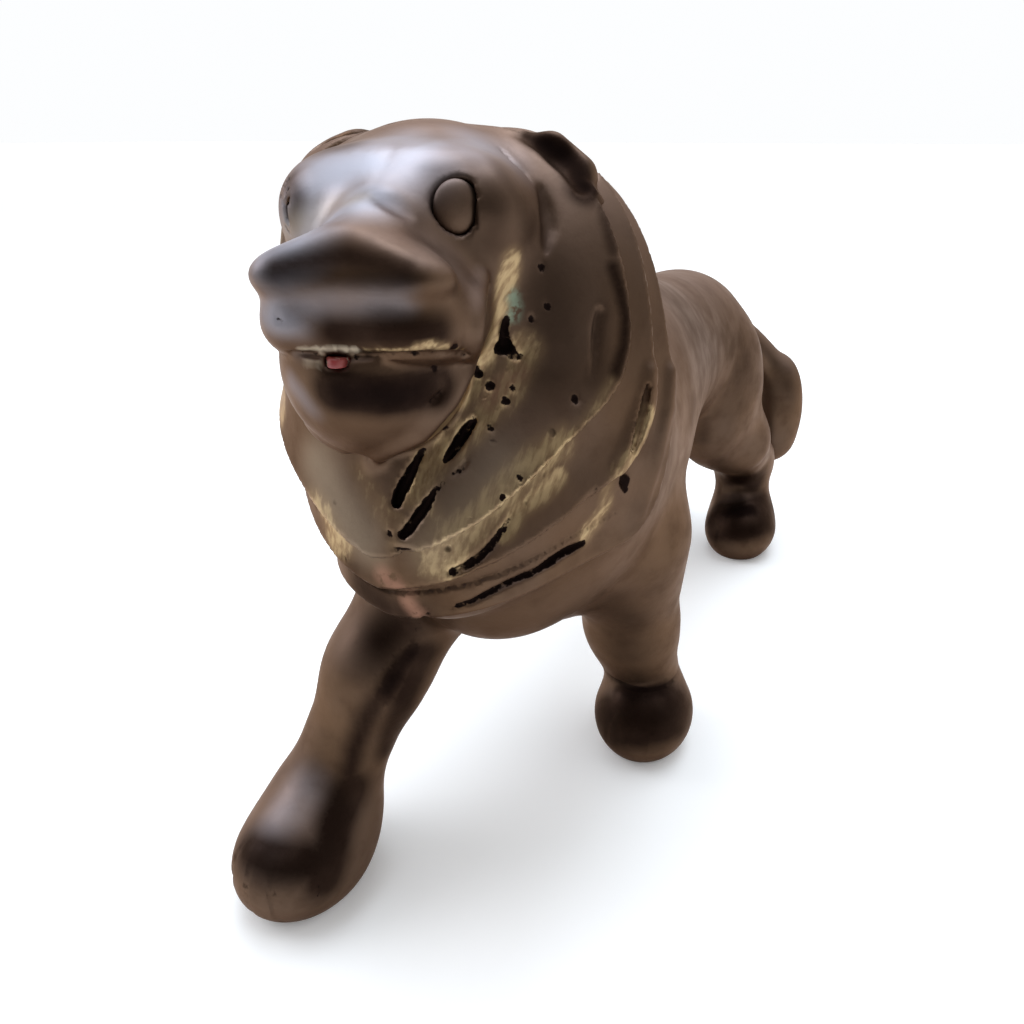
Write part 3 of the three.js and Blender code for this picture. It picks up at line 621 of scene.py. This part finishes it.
cuts, blacks = [], []
for (width, depth, black, span), points in lines_on_skin(GASHES):
    share = swelling(len(points), span)
    cuts.append(sunk(points, width / 2 * share, depth * share))
    blacks.append((black, cuts[-1]))
for width, pixel in PITS.values():
    spot = on_skin([pixel, (pixel[0] + 1, pixel[1] + 1)])
    cuts.append(sunk(spot, np.full(2, width / 2), np.full(2, width / 2)))
    blacks.append((1.0, cuts[-1]))
ridges = []
for (width, height), points in lines_on_skin(RIDGES):
    share = swelling(len(points))
    ridges.append(sunk(points, width / 2 * share, (width - height) * share))


# Toes and ankles, the same on each paw. Headings and lifts are in degrees
INSIDE_REACH, INSIDE_STEP = 40, 0.1
TOE_HEADINGS, TOE_LIFTS, TOE_SPAN = (-24, 0, 24), (-18, -8, 2, 12, 22, 32, 42), (0.15, 0.9)
ANKLE_HEADINGS, ANKLE_SPAN = range(-110, 111, 10), (0.06, 0.94)
TOE_RADIUS, ANKLE_RADIUS, ANKLE_RISE = 0.55, 0.7, 15.2


def from_inside(form, centre, ways):
    """Where rays from a centre leave a form."""
    run = np.arange(0, INSIDE_REACH, INSIDE_STEP)
    found = []
    for way in ways:
        outside = form(np.array(centre) + run[:, None] * way) > 0
        found.append(np.array(centre) + run[outside.argmax()] * way)
    return np.array(found)


def heading(turn, lift):
    """A unit vector, turned from the way that the lion looks, and lifted."""
    turn, lift = math.radians(turn), math.radians(lift)
    return np.array([math.sin(turn) * math.cos(lift), -math.cos(turn) * math.cos(lift), math.sin(lift)])


def paw_strokes():
    """The grooves between the toes, and a crease round each ankle that has no wide fillet."""
    strokes = []
    for leg in LEGS.values():
        (x, y), _, turn = leg["paw"]
        for toe in TOE_HEADINGS:
            ways = [heading(toe + turn, lift) for lift in TOE_LIFTS]
            points = from_inside(body_form, (x, y, PAW_MIDDLE), ways)
            strokes.append(stroke(points, TOE_RADIUS * swelling(len(points), TOE_SPAN)))
        if "ankle" in leg:
            continue
        ankle = np.array(leg["joints"][2][:3]) * [1, 1, 0] + [0, 0, ANKLE_RISE]
        points = from_inside(body_form, ankle, [heading(turn, 0) for turn in ANKLE_HEADINGS])
        strokes.append(stroke(points, ANKLE_RADIUS * swelling(len(points), ANKLE_SPAN)))
    return strokes


# How softly cuts and ridges meet the skin, and how a gash's black fades round it, in mm
CUT_ROUND, RIDGE_ROUND = 0.35, 1.6
BLACK_CORE, BLACK_FADE = 1.4, 0.7
cuts += paw_strokes()
painted = [
    (mask, *settings, line) for mask, marks in PAINT.items() for settings, line in lines_on_skin(marks)
]


def marked(form):
    """A form with the marks in it."""

    def out(p):
        value = form(p)
        near = np.abs(value) < MARK_REACH
        q, carved = p[near], value[near]
        for ridge in ridges:
            carved = press(carved, ridge(q), RIDGE_ROUND)
        for cut in cuts:
            carved = cut_back(carved, -cut(q), CUT_ROUND)
        value[near] = carved
        return value

    return out


# Skins: a coarse grid tells where the skin is, and a fine one is worked out near it
COARSE, NEAR_BLOCKS, NEAR_ROOM = 4, 1.3, 1
MOST_PASSES, SETTLE_PASSES, SETTLE_PARTS = 20, 2, 3
CREASE_PASSES, CREASE_SOFTEN, EVEN_SHARE = 6, 2, 0.5
MASK_TOPS = {"gash": 2}  # the other masks end at 1


def sampled(form, low, high, step):
    """A form's distance on a grid: exact near the skin, and a rough guess elsewhere."""
    blocks = np.ceil((np.array(high, float) - low) / (step * COARSE)).astype(int)
    axes = [low[a] + step * (np.arange(blocks[a]) * COARSE + (COARSE - 1) / 2) for a in range(3)]
    rough = form(np.stack(np.meshgrid(*axes, indexing="ij"), -1).reshape(-1, 3)).reshape(blocks)
    value = rough.repeat(COARSE, 0).repeat(COARSE, 1).repeat(COARSE, 2)
    near = np.abs(value) < COARSE * step * NEAR_BLOCKS + NEAR_ROOM
    value[near] = form(np.array(low, float) + step * np.argwhere(near))
    return value


def shifted(grid, moves):
    """The grid seen from each cell's corner, for moves of 0 or 1 along each axis."""
    return grid[tuple(slice(m, n - 1 + m) for m, n in zip(moves, grid.shape))]


def part_touching_sheets(value):
    """Where a square's corners lie in and out by turns, the one nearest the skin changes sides."""
    for _ in range(MOST_PASSES):
        changed = 0
        for axis in range(3):
            u, v = np.eye(3, dtype=int)[[axis, (axis + 1) % 3]]
            square = [np.zeros(3, int), u, u + v, v]
            inside = [shifted(value, moves) < 0 for moves in square]
            crossed = (inside[0] == inside[2]) & (inside[1] == inside[3]) & (inside[0] != inside[1])
            for cell in np.argwhere(crossed):
                corners = [tuple(cell + moves) for moves in square]
                nearest = min(corners, key=lambda corner: abs(value[corner]))
                value[nearest] = -value[nearest] if value[nearest] else NEAR_ZERO
                changed += 1
        if not changed:
            return


def skin(form, low, high, step):
    """Points and squares of a form's skin: one point for each grid cell that the skin crosses."""
    value = sampled(form, low, high, step)
    part_touching_sheets(value)
    shape = np.array(value.shape)
    place = np.array([shape[1] * shape[2], shape[2], 1])
    cells, crossings, squares = [], [], []
    for axis in range(3):
        way = np.eye(3, dtype=int)[axis]
        u, v = np.eye(3, dtype=int)[[(axis + 1) % 3, (axis + 2) % 3]]
        here, there = shifted(value, (0, 0, 0)), shifted(value, way)
        found = np.argwhere((here < 0) != (there < 0))
        found = found[(found > 0).all(1)]
        start, end = here[tuple(found.T)], there[tuple(found.T)]
        spot = found + np.outer(start / (start - end), way)
        around = [found, found - u, found - u - v, found - v]
        ids = np.stack([cell @ place for cell in around], 1)
        cells.append(ids.T.ravel())
        crossings.append(np.tile(spot, (4, 1)))
        squares.append(np.where((end < 0)[:, None], ids[:, ::-1], ids))
    used, index = np.unique(np.concatenate(cells), return_inverse=True)
    crossings = np.concatenate(crossings)
    count = np.bincount(index)
    points = np.stack([np.bincount(index, crossings[:, a]) / count for a in range(3)], 1)
    points = np.array(low, float) + step * points
    most = step / SETTLE_PARTS
    for _ in range(SETTLE_PASSES):
        here, out = slope_at(form, points)
        points = points - np.clip(here, -most, most)[:, None] * out
    return points, np.searchsorted(used, np.concatenate(squares))


def placed(name, data):
    """A new object in the scene."""
    obj = bpy.data.objects.new(name, data)
    bpy.context.scene.collection.objects.link(obj)
    return obj


def piece(name, points, faces, normals=None):
    """A mesh object from points in working mm."""
    mesh = bpy.data.meshes.new(name)
    places = ((points + SHIFT) * METRES).tolist()
    mesh.from_pydata(places, [], [list(map(int, face)) for face in faces])
    mesh.update()
    mesh.shade_smooth()
    obj = placed(name, mesh)
    if normals is not None:
        mesh.normals_split_custom_set_from_vertices(normals.tolist())
    return obj


def sides_of(faces):
    return np.concatenate([faces[:, [i, (i + 1) % 4]] for i in range(4)])


def evened(values, edges, times):
    """Values at the points, evened out with their neighbours'."""
    count = np.bincount(edges.ravel(), minlength=len(values))
    ends = np.concatenate([edges[:, 0], edges[:, 1]])
    others = np.concatenate([edges[:, 1], edges[:, 0]])
    for _ in range(times):
        columns = values.reshape(len(values), -1).T
        total = [np.bincount(ends, column[others], len(values)) / count for column in columns]
        around = np.stack(total, 1).reshape(values.shape)
        values = (1 - EVEN_SHARE) * values + EVEN_SHARE * around
    return values


def masks_of(points, faces, out):
    """Each painted mask at the points, and how far the skin stands out of its surroundings, in mm."""
    found = {name: np.zeros(len(points)) for name in MASKS}
    for name, radius, strength, line in painted:
        near = ((points > line.min(0) - radius) & (points < line.max(0) + radius)).all(1)
        if near.any():
            gap = np.min([norm(points[near] - spot, axis=1) for spot in line], axis=0)
            share = np.clip(1 - gap / radius, 0, 1)
            laid = strength * share * share * (3 - 2 * share)
            found[name][near] = np.maximum(found[name][near], laid)
    for black, cut in blacks:
        share = np.clip(BLACK_CORE - cut(points) / BLACK_FADE, 0, BLACK_CORE)
        found["gash"] = np.maximum(found["gash"], black * share)
    found = {name: np.minimum(values, MASK_TOPS.get(name, 1)) for name, values in found.items()}
    edges = np.unique(np.sort(sides_of(faces), 1), axis=0)
    stands_out = ((points - evened(points, edges, CREASE_PASSES)) * out).sum(1)
    found["crease"] = evened(stands_out, edges, CREASE_SOFTEN)
    return found


def give_masks(obj, masks):
    for name, values in masks.items():
        attribute = obj.data.attributes.new(name, "FLOAT", "POINT")
        attribute.data.foreach_set("value", np.ascontiguousarray(values, dtype=np.float32))


def cast(name, form, box, step):
    """A whole casting as one piece."""
    points, faces = skin(form, *box, step)
    _, out = slope_at(form, points)
    obj = piece(name, points, faces)
    give_masks(obj, masks_of(points, faces, out))
    return obj


# Head and mane
EYE_ROUND, PLUG_ROUND = 0.5, 0.6


def head_room(p):
    return np.minimum(behind_inner(p), ear_room(p))


def head_piece(p):
    inside = cut_back(marked(head_clay)(p), -right_room(p), EYE_ROUND)
    inside = cut_back(inside, -left_room(p), EYE_ROUND)
    inside = cut_back(inside, -slot_form(p), EYE_ROUND)
    return cut_back(inside, head_room(p), LIP_ROUND)


def mane_piece(p):
    middle = cut_back(row_form(behind_middle)(p), behind_middle(p), LIP_ROUND)
    outer = cut_back(row_form(behind_outer)(p), behind_outer(p), LIP_ROUND)
    under = -HIDDEN_LAP - head_room(p)
    return cut_back(press(middle, outer, ROW_BLEND), under, LIP_ROUND)


def trunk_and_legs(p):
    return cut_back(body_form(p), -HIDDEN_LAP - behind_outer(p), LIP_ROUND)


# Room for each skin's grid, in mm: the lowest corner and the highest
HEAD_BOX, MANE_BOX = ((-28, -70, 58), (24, -22, 113)), ((-25, -62, 48), (27, -14, 110))
BODY_BOX, TAIL_BOX = ((-38, -68, -2), (34, 114, 108)), ((-4, 86, 18), (31, 119, 70))
pieces = {
    "head": cast("head_casting", head_piece, HEAD_BOX, HEAD_STEP),
    "mane": cast("mane_casting", marked(mane_piece), MANE_BOX, MANE_STEP),
}

# Trunk and legs: one skin, so the seams don't show, parted where each leg's casting begins
PAW_REACH = 40  # length of ground that belongs to one paw


def in_leg(p, leg):
    """Which points belong to a leg: those past its seam, and those low down beside its paw."""
    root, knee = np.array(leg["joints"][0][:3]), np.array(leg["joints"][1][:3])
    share, radius = leg["seam"]
    way = (knee - root) / norm(knee - root)
    q = p - (root + share * (knee - root))
    run = q @ way
    sleeve = (run > 0) & (norm(q - np.outer(run, way), axis=1) < radius)
    (x, y), _, _ = leg["paw"]
    beside = (p[:, 0] * x > 0) & (np.abs(p[:, 1] - y) < PAW_REACH / 2)
    return sleeve | (beside & (p[:, 2] < FREE_LEG_TOP))


def capped(points, faces):
    """The faces of one part of a skin, with each open border closed by a fan."""
    edges = sides_of(faces)
    ordered = np.sort(edges, 1) @ [len(points), 1]
    _, first, count = np.unique(ordered, return_index=True, return_counts=True)
    following = {b: a for a, b in edges[first[count == 1]].tolist()}
    out = [list(face) for face in faces.tolist()]
    while following:
        start, here = following.popitem()
        loop = [start, here]
        while following.get(here) is not None and here != start:
            here = following.pop(here)
            loop.append(here)
        loop = loop[:-1] if loop[-1] == loop[0] else loop
        points = np.vstack([points, points[loop].mean(0)])
        out += [[a, b, len(points) - 1] for a, b in zip(loop, loop[1:] + loop[:1])]
    return points, out


body_points, body_faces = skin(marked(trunk_and_legs), *BODY_BOX, BODY_STEP)
_, body_out = slope_at(trunk_and_legs, body_points)
body_masks = masks_of(body_points, body_faces, body_out)
middles = body_points[body_faces].mean(1)
owner = np.zeros(len(body_faces), int)
for number, leg in enumerate(LEGS.values(), start=1):
    owner[in_leg(middles, leg) & (owner == 0)] = number
for number, name in enumerate(["trunk", *LEGS]):
    own = body_faces[owner == number]
    used, index = np.unique(own, return_inverse=True)
    points, faces = capped(body_points[used], index.reshape(own.shape))
    added = len(points) - len(used)
    normals = np.vstack([body_out[used], np.tile([0, 0, 1.0], (added, 1))])
    obj = piece(f"{name}_casting", points, faces, normals)
    masks = {mask: np.append(values[used], np.zeros(added)) for mask, values in body_masks.items()}
    give_masks(obj, masks)
    pieces[name] = obj

# Tail, from its seam on
tail_root, tail_next = np.array(TAIL[0][:3]), np.array(TAIL[1][:3])
tail_way = (tail_next - tail_root) / norm(tail_next - tail_root)
tail_seam = tail_root + TAIL_SEAM * (tail_next - tail_root)


def tail_piece(p):
    return np.maximum(tail_form(p), -(p - tail_seam) @ tail_way)


pieces["tail"] = cast("tail_casting", tail_piece, TAIL_BOX, TAIL_STEP)


# Eyes, tongue and plug
def box_of(node, room=1):
    """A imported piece's box in working units, with some room round it."""
    low, high = (np.array(corner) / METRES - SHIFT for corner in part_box(node))
    return low - room, high + room


for side in EYES:
    name = f"{side}_eye"
    pieces[name] = cast(f"{name}_inlay", eye_form(side), box_of(name), SMALL_STEP)


def tongue_form(p):
    return slot_form(p, TONGUE_GAP)


pieces["tongue"] = cast("tongue_inlay", tongue_form, box_of("tongue"), SMALL_STEP)
plug_low, plug_high = box_of("belly_plug", 0)
plug_middle, plug_half = (plug_low + plug_high) / 2, (plug_high - plug_low) / 2


def plug_form(p):
    q = p - plug_middle
    side = np.hypot(q[:, 0], q[:, 1]) - plug_half[0]
    return cut_back(side, np.abs(q[:, 2]) - plug_half[2], PLUG_ROUND)


pieces["belly_plug"] = cast("belly_plug_boss", plug_form, box_of("belly_plug"), SMALL_STEP)


# Materials
class Tree:
    """The nodes of a material or the world, with a short call for each kind that is used here."""

    def __init__(self, owner, shader="Principled BSDF"):
        owner.use_nodes = True
        self.owner, self.nodes, self.links = owner, owner.node_tree.nodes, owner.node_tree.links
        self.shader = self.nodes[shader]

    def feed(self, socket, value):
        if isinstance(value, bpy.types.NodeSocket):
            self.links.new(value, socket)
        elif socket.type == "RGBA":
            socket.default_value = (*value, 1)
        else:
            socket.default_value = value

    def node(self, kind, inputs, output=0, **settings):
        node = self.nodes.new("ShaderNode" + kind)
        for key, value in settings.items():
            setattr(node, key, value)
        for key, value in inputs.items():
            self.feed(node.inputs[key], value)
        return node.outputs[output]

    def math(self, operation, a, b):
        return self.node("Math", {0: a, 1: b}, operation=operation)

    times, plus = partialmethod(math, "MULTIPLY"), partialmethod(math, "ADD")
    less, most = partialmethod(math, "SUBTRACT"), partialmethod(math, "MAXIMUM")

    def mask(self, name):
        return self.node("Attribute", {}, 2, attribute_name=name)

    def place(self, stretch=(1, 1, 1), turn=0):
        """Places on the object, tilted about x by some degrees and then stretched."""
        place = self.node("TexCoord", {}, 3)
        tilt = {"Vector": place, "Angle": math.radians(turn)}
        tilted = self.node("VectorRotate", tilt, rotation_type="X_AXIS")
        return self.node("VectorMath", {0: tilted, 1: stretch}, operation="MULTIPLY")

    def noise(self, size_mm, detail=4, stretch=(1, 1, 1), turn=0, seed=0):
        place, scale = self.place(stretch, turn), 1 / (size_mm * METRES)
        inputs = {"Vector": place, "W": seed, "Scale": scale, "Detail": detail}
        return self.node("TexNoise", inputs, noise_dimensions="4D")

    def cells(self, size_mm, seed=0):
        inputs = {"Vector": self.place(), "W": seed, "Scale": 1 / (size_mm * METRES)}
        return self.node("TexVoronoi", inputs, voronoi_dimensions="4D")

    def rise(self, value, low, high, out_low=0.0, out_high=1.0):
        """A smooth step, from one value where the input is low to another where it is high."""
        span = {"From Min": low, "From Max": high, "To Min": out_low, "To Max": out_high}
        return self.node("MapRange", {"Value": value, **span}, interpolation_type="SMOOTHSTEP")

    def mix(self, share, a, b):
        node = self.nodes.new("ShaderNodeMix")
        node.data_type = "RGBA"
        for key, value in ((0, share), (6, a), (7, b)):
            self.feed(node.inputs[key], value)
        return node.outputs[2]

    def bump(self, height, strength, depth_mm):
        inputs = {"Height": height, "Strength": strength, "Distance": depth_mm * METRES}
        return self.node("Bump", inputs)

    def finish(self, **looks):
        """Feed the shader: a name's underscore stands for the space in its socket's name."""
        for key, value in looks.items():
            self.feed(self.shader.inputs[key.replace("_", " ")], value)
        return self.owner


LOCK_LEAN = 42  # degrees that the locks lean back from upright
BROWN, DEEP_BROWN, UMBER = (0.118, 0.068, 0.039), (0.055, 0.026, 0.013), (0.112, 0.070, 0.047)
DEEPEST, NEAR_BLACK = (0.012, 0.005, 0.003), (0.012, 0.007, 0.006)
BRASS, BRASS_DEEP, PIN_BRASS = (0.42, 0.30, 0.16), (0.26, 0.17, 0.09), (0.55, 0.38, 0.17)
SHEEN_TINT, TOP_SHEEN_TINT, EDGE_TINT = (0.36, 0.365, 0.42), (0.24, 0.175, 0.155), (0.82, 0.66, 0.57)
COPPER, VERDIGRIS, PALE = (0.26, 0.135, 0.09), (0.22, 0.29, 0.21), (0.46, 0.38, 0.28)
RED, DEEP_RED = (0.26, 0.05, 0.04), (0.2, 0.02, 0.02)
FLOOR_TONES = (0.92, 0.92, 0.92), (0.95, 0.95, 0.95)
SKY_WHITE, SKY_DIM = (0.98, 0.99, 1.0), (0.10, 0.09, 0.09)
ROUGHNESS, METALLIC, SHADE_MOST, WEAR_START = (0.40, 0.55), (0.88, 1.0), 0.96, 1.3
GASH_EDGE, GASH_RAGGED = (1.10, 1.25), 1.1
GLOW_FROM, GLOW = (0.3, 2.5), (0.15, 0.26)  # the floor's own light: metres away, and strength there


def bronze(name):
    """Brown patina over brass: rubbed crests, black patina and painted shade in creases, painted sheen
    facing up.
    """
    t = Tree(bpy.data.materials.new(name))
    broad, middle, fine = t.noise(22, 3), t.noise(5, 5, seed=3), t.noise(0.9, 4, seed=5)
    streaks = t.noise(1.1, 4, stretch=(1, 1, 0.22), turn=LOCK_LEAN, seed=7)
    grain = t.noise(0.6, 5, stretch=(1, 1, 0.2), turn=LOCK_LEAN, seed=12)
    # Brown all over, with painted shade underneath and a painted sheen, for the sky's reflection, on what
    # faces up
    colour = t.mix(t.rise(broad, 0.35, 0.65), BROWN, UMBER)
    colour = t.mix(t.rise(middle, 0.50, 0.75, 0, 0.4), colour, DEEP_BROWN)
    up = t.node("SeparateXYZ", {0: t.node("NewGeometry", {}, 1)}, 2)
    # Painted shade: what faces down is darkened
    colour = t.mix(t.rise(up, 0.1, -0.8, 0, 0.7), colour, DEEP_BROWN)
    # Painted highlight: what faces up is tinted towards a lavender sheen
    painted_top_sheen = t.times(t.rise(up, 0.3, 0.95, 0, 0.45), t.rise(middle, 0.25, 0.6, 0.85, 1))
    colour = t.mix(painted_top_sheen, colour, TOP_SHEEN_TINT)
    # Painted highlight, a lavender sheen for the sky's reflection, and painted shade
    painted_sheen = t.times(t.mask("painted_sheen"), t.rise(middle, 0.2, 0.65, 0.6, 1))
    colour = t.mix(t.times(painted_sheen, t.rise(up, -0.7, 0.4)), colour, SHEEN_TINT)
    shade = t.times(t.mask("shade"), t.rise(middle, 0.2, 0.6, 0.88, 1))
    colour = t.mix(t.times(shade, SHADE_MOST), colour, DEEPEST)
    # Wear: a brassy tint, then broken streaks of bare metal along the locks
    worn = t.mask("wear")
    zone = t.rise(worn, 0.02, 0.3)
    tint = t.times(t.rise(worn, 0.05, 0.9), t.rise(streaks, 0.3, 0.7, 0.45, 0.9))
    colour = t.mix(tint, colour, BRASS_DEEP)
    crest = t.rise(t.plus(t.mask("crease"), t.times(streaks, 0.04)), 0.06, 0.12, 0, 0.15)
    broken = t.plus(t.times(grain, 0.9), t.times(streaks, 0.8))
    rubbed = t.plus(t.most(crest, worn), broken)
    wear = t.rise(t.less(rubbed, WEAR_START), -0.05, 0.5, 0, 0.95)
    wear = t.times(wear, t.most(zone, t.times(crest, 0.5)))
    colour = t.mix(wear, colour, t.mix(t.rise(grain, 0.35, 0.6), BRASS_DEEP, BRASS))
    # Stains, then pale marks: paint traces along the mouth's rims, painted highlights on the nose's ridge
    # and the beard, and a faint paling of the breast
    colour = t.mix(t.times(t.mask("copper"), t.rise(fine, 0.3, 0.5)), colour, COPPER)
    colour = t.mix(t.times(t.mask("verdigris"), t.rise(fine, 0.4, 0.55)), colour, VERDIGRIS)
    colour = t.mix(t.mask("pale_trace_and_highlight"), colour, PALE)
    # Black: in the hollows, as patina and painted shade; in casting pits where the skin is worn; in the
    # gashes; and as painted shade and painted dark reflections where it is painted
    # Black patina and painted shade in the hollows, darkest where the skin lies deepest below its
    # surroundings
    hollow = t.rise(t.times(t.mask("crease"), -1), 0.04, 0.2, 0, 0.7)
    pits = t.rise(t.cells(2.2, 1), 0.30, 0.18)
    pits = t.times(t.times(pits, t.rise(t.noise(5, 3, seed=9), 0.5, 0.58)), zone)
    ragged = t.times(t.less(t.noise(1.0, 4, seed=15), 0.5), GASH_RAGGED)
    gash = t.rise(t.plus(t.mask("gash"), ragged), *GASH_EDGE)
    black_and_painted_shade = t.rise(t.plus(t.mask("black_and_painted_shade"), t.times(t.less(middle, 0.5), 0.7)), 0.15, 0.8)
    black_and_painted_shade = t.most(t.most(black_and_painted_shade, gash), t.most(hollow, pits))
    # Rougher where it is black, smoother and pitted where it is worn
    rough = t.less(t.rise(middle, 0.3, 0.7, *ROUGHNESS), t.times(wear, 0.1))
    height = t.less(t.plus(t.times(fine, 0.35), t.times(middle, 0.25)), pits)
    height = t.less(height, t.times(t.times(wear, zone), 0.2))
    return t.finish(
        Base_Color=t.mix(black_and_painted_shade, colour, NEAR_BLACK),
        Roughness=t.plus(rough, t.times(black_and_painted_shade, 0.2)),
        Metallic=t.rise(black_and_painted_shade, 0.0, 1.0, *METALLIC),
        Normal=t.bump(height, 0.35, 0.25),
        Specular_Tint=EDGE_TINT,
    )


def enamel(name):
    """Red enamel, chipped and dulled."""
    t = Tree(bpy.data.materials.new(name))
    chips = t.rise(t.noise(0.8, 4), 0.58, 0.66)
    colour = t.mix(t.rise(t.noise(1.6, 3, seed=2), 0.3, 0.7), RED, DEEP_RED)
    return t.finish(
        Base_Color=t.mix(chips, colour, PALE),
        Roughness=t.rise(t.noise(0.5, 3, seed=4), 0.3, 0.7, 0.3, 0.5),
        Normal=t.bump(chips, 0.4, -0.1),
    )


def pin_brass(name):
    """Turned brass, with fine rings from the lathe and a little tarnish."""
    t = Tree(bpy.data.materials.new(name))
    tarnish = t.rise(t.noise(2.5, 4), 0.45, 0.65, 0, 0.7)
    rings = t.noise(0.3, 2, stretch=(1, 1, 8), seed=2)
    return t.finish(
        Base_Color=t.mix(tarnish, PIN_BRASS, BRASS_DEEP),
        Roughness=t.rise(rings, 0.3, 0.7, 0.25, 0.4),
        Metallic=1.0,
        Normal=t.bump(rings, 0.2, 0.05),
    )


bronze_look, enamel_look = bronze("bronze_patina"), enamel("red_enamel")
brass_look = pin_brass("pin_brass_look")
for node, obj in pieces.items():
    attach(obj, "root")
    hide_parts(node)
    obj.data.materials.append(enamel_look if node == "tongue" else bronze_look)
for node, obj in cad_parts.items():
    if node not in pieces:
        obj.data.materials.clear()
        obj.data.materials.append(brass_look)


# Floor, light and camera
def floor_look():
    """Pale and plain, and a little brighter further away."""
    t = Tree(bpy.data.materials.new("pale_floor"))
    away = t.node("VectorMath", {0: t.place()}, 1, operation="LENGTH")
    return t.finish(
        Base_Color=t.mix(t.rise(t.noise(60, 3), 0.3, 0.7), *FLOOR_TONES),
        Roughness=0.9,
        Emission_Color=(1, 1, 1),
        Emission_Strength=t.rise(away, *GLOW_FROM, *GLOW),
    )


FLOOR_HALF = 12  # metres
floor_mesh = bpy.data.meshes.new("floor")
corners = [(x * FLOOR_HALF, y * FLOOR_HALF, 0) for x, y in ((-1, -1), (1, -1), (1, 1), (-1, 1))]
floor_mesh.from_pydata(corners, [], [(0, 1, 2, 3)])
floor_mesh.materials.append(floor_look())
floor = placed("floor", floor_mesh)

# The room: white all round, and dim low down on the side that the photograph was taken from
world = bpy.data.worlds.new("studio")
bpy.context.scene.world = world
sky = Tree(world, "Background")
direction = sky.node("TexCoord", {})


def sky_rise(way, low, high):
    """A smooth step from 0 to 1 along a direction in the sky."""
    along = sky.node("VectorMath", {0: direction, 1: way}, 1, operation="DOT_PRODUCT")
    return sky.rise(along, low, high)


toward_camera, low_down = sky_rise((-LOOK[0], -LOOK[1], 0), -0.1, 0.6), sky_rise((0, 0, 1), 0.85, 0.55)
sky.finish(Color=sky.mix(sky.times(toward_camera, low_down), SKY_WHITE, SKY_DIM), Strength=1.0)
bpy.context.scene.view_settings.view_transform = "Standard"

# Soft lamps: name, place in metres, size, watts, colour
LAMPS = [
    ("window_above", (-0.05, 0.15, 0.75), 0.6, 4.6, (0.80, 0.9, 1.0)),
    ("window_side", (-0.6, -0.2, 0.5), 0.4, 1.5, (0.92, 0.94, 1.0)),
]
AIM = Vector((0, -0.02, 0.05))  # metres, where every lamp points
for name, place, size, watts, colour in LAMPS:
    lamp = bpy.data.lights.new(name, "AREA")
    lamp.size, lamp.energy, lamp.color = size, watts, colour
    obj = placed(name, lamp)
    obj.location = place
    obj.rotation_euler = (AIM - Vector(place)).to_track_quat("-Z", "Y").to_euler()

lens = bpy.data.cameras.new("photo_camera")
lens.sensor_width = SENSOR_WIDTH
lens.lens = SENSOR_WIDTH * FOCAL_PIXELS / PHOTO_SIZE
lens.clip_start = CLIP_START
camera = placed("photo_camera", lens)
aimed = Matrix(np.stack([RIGHT, UP, -LOOK], 1).tolist()).to_4x4()
camera.matrix_world = Matrix.Translation((CAMERA_AT + SHIFT) * METRES) @ aimed
bpy.context.scene.camera = camera
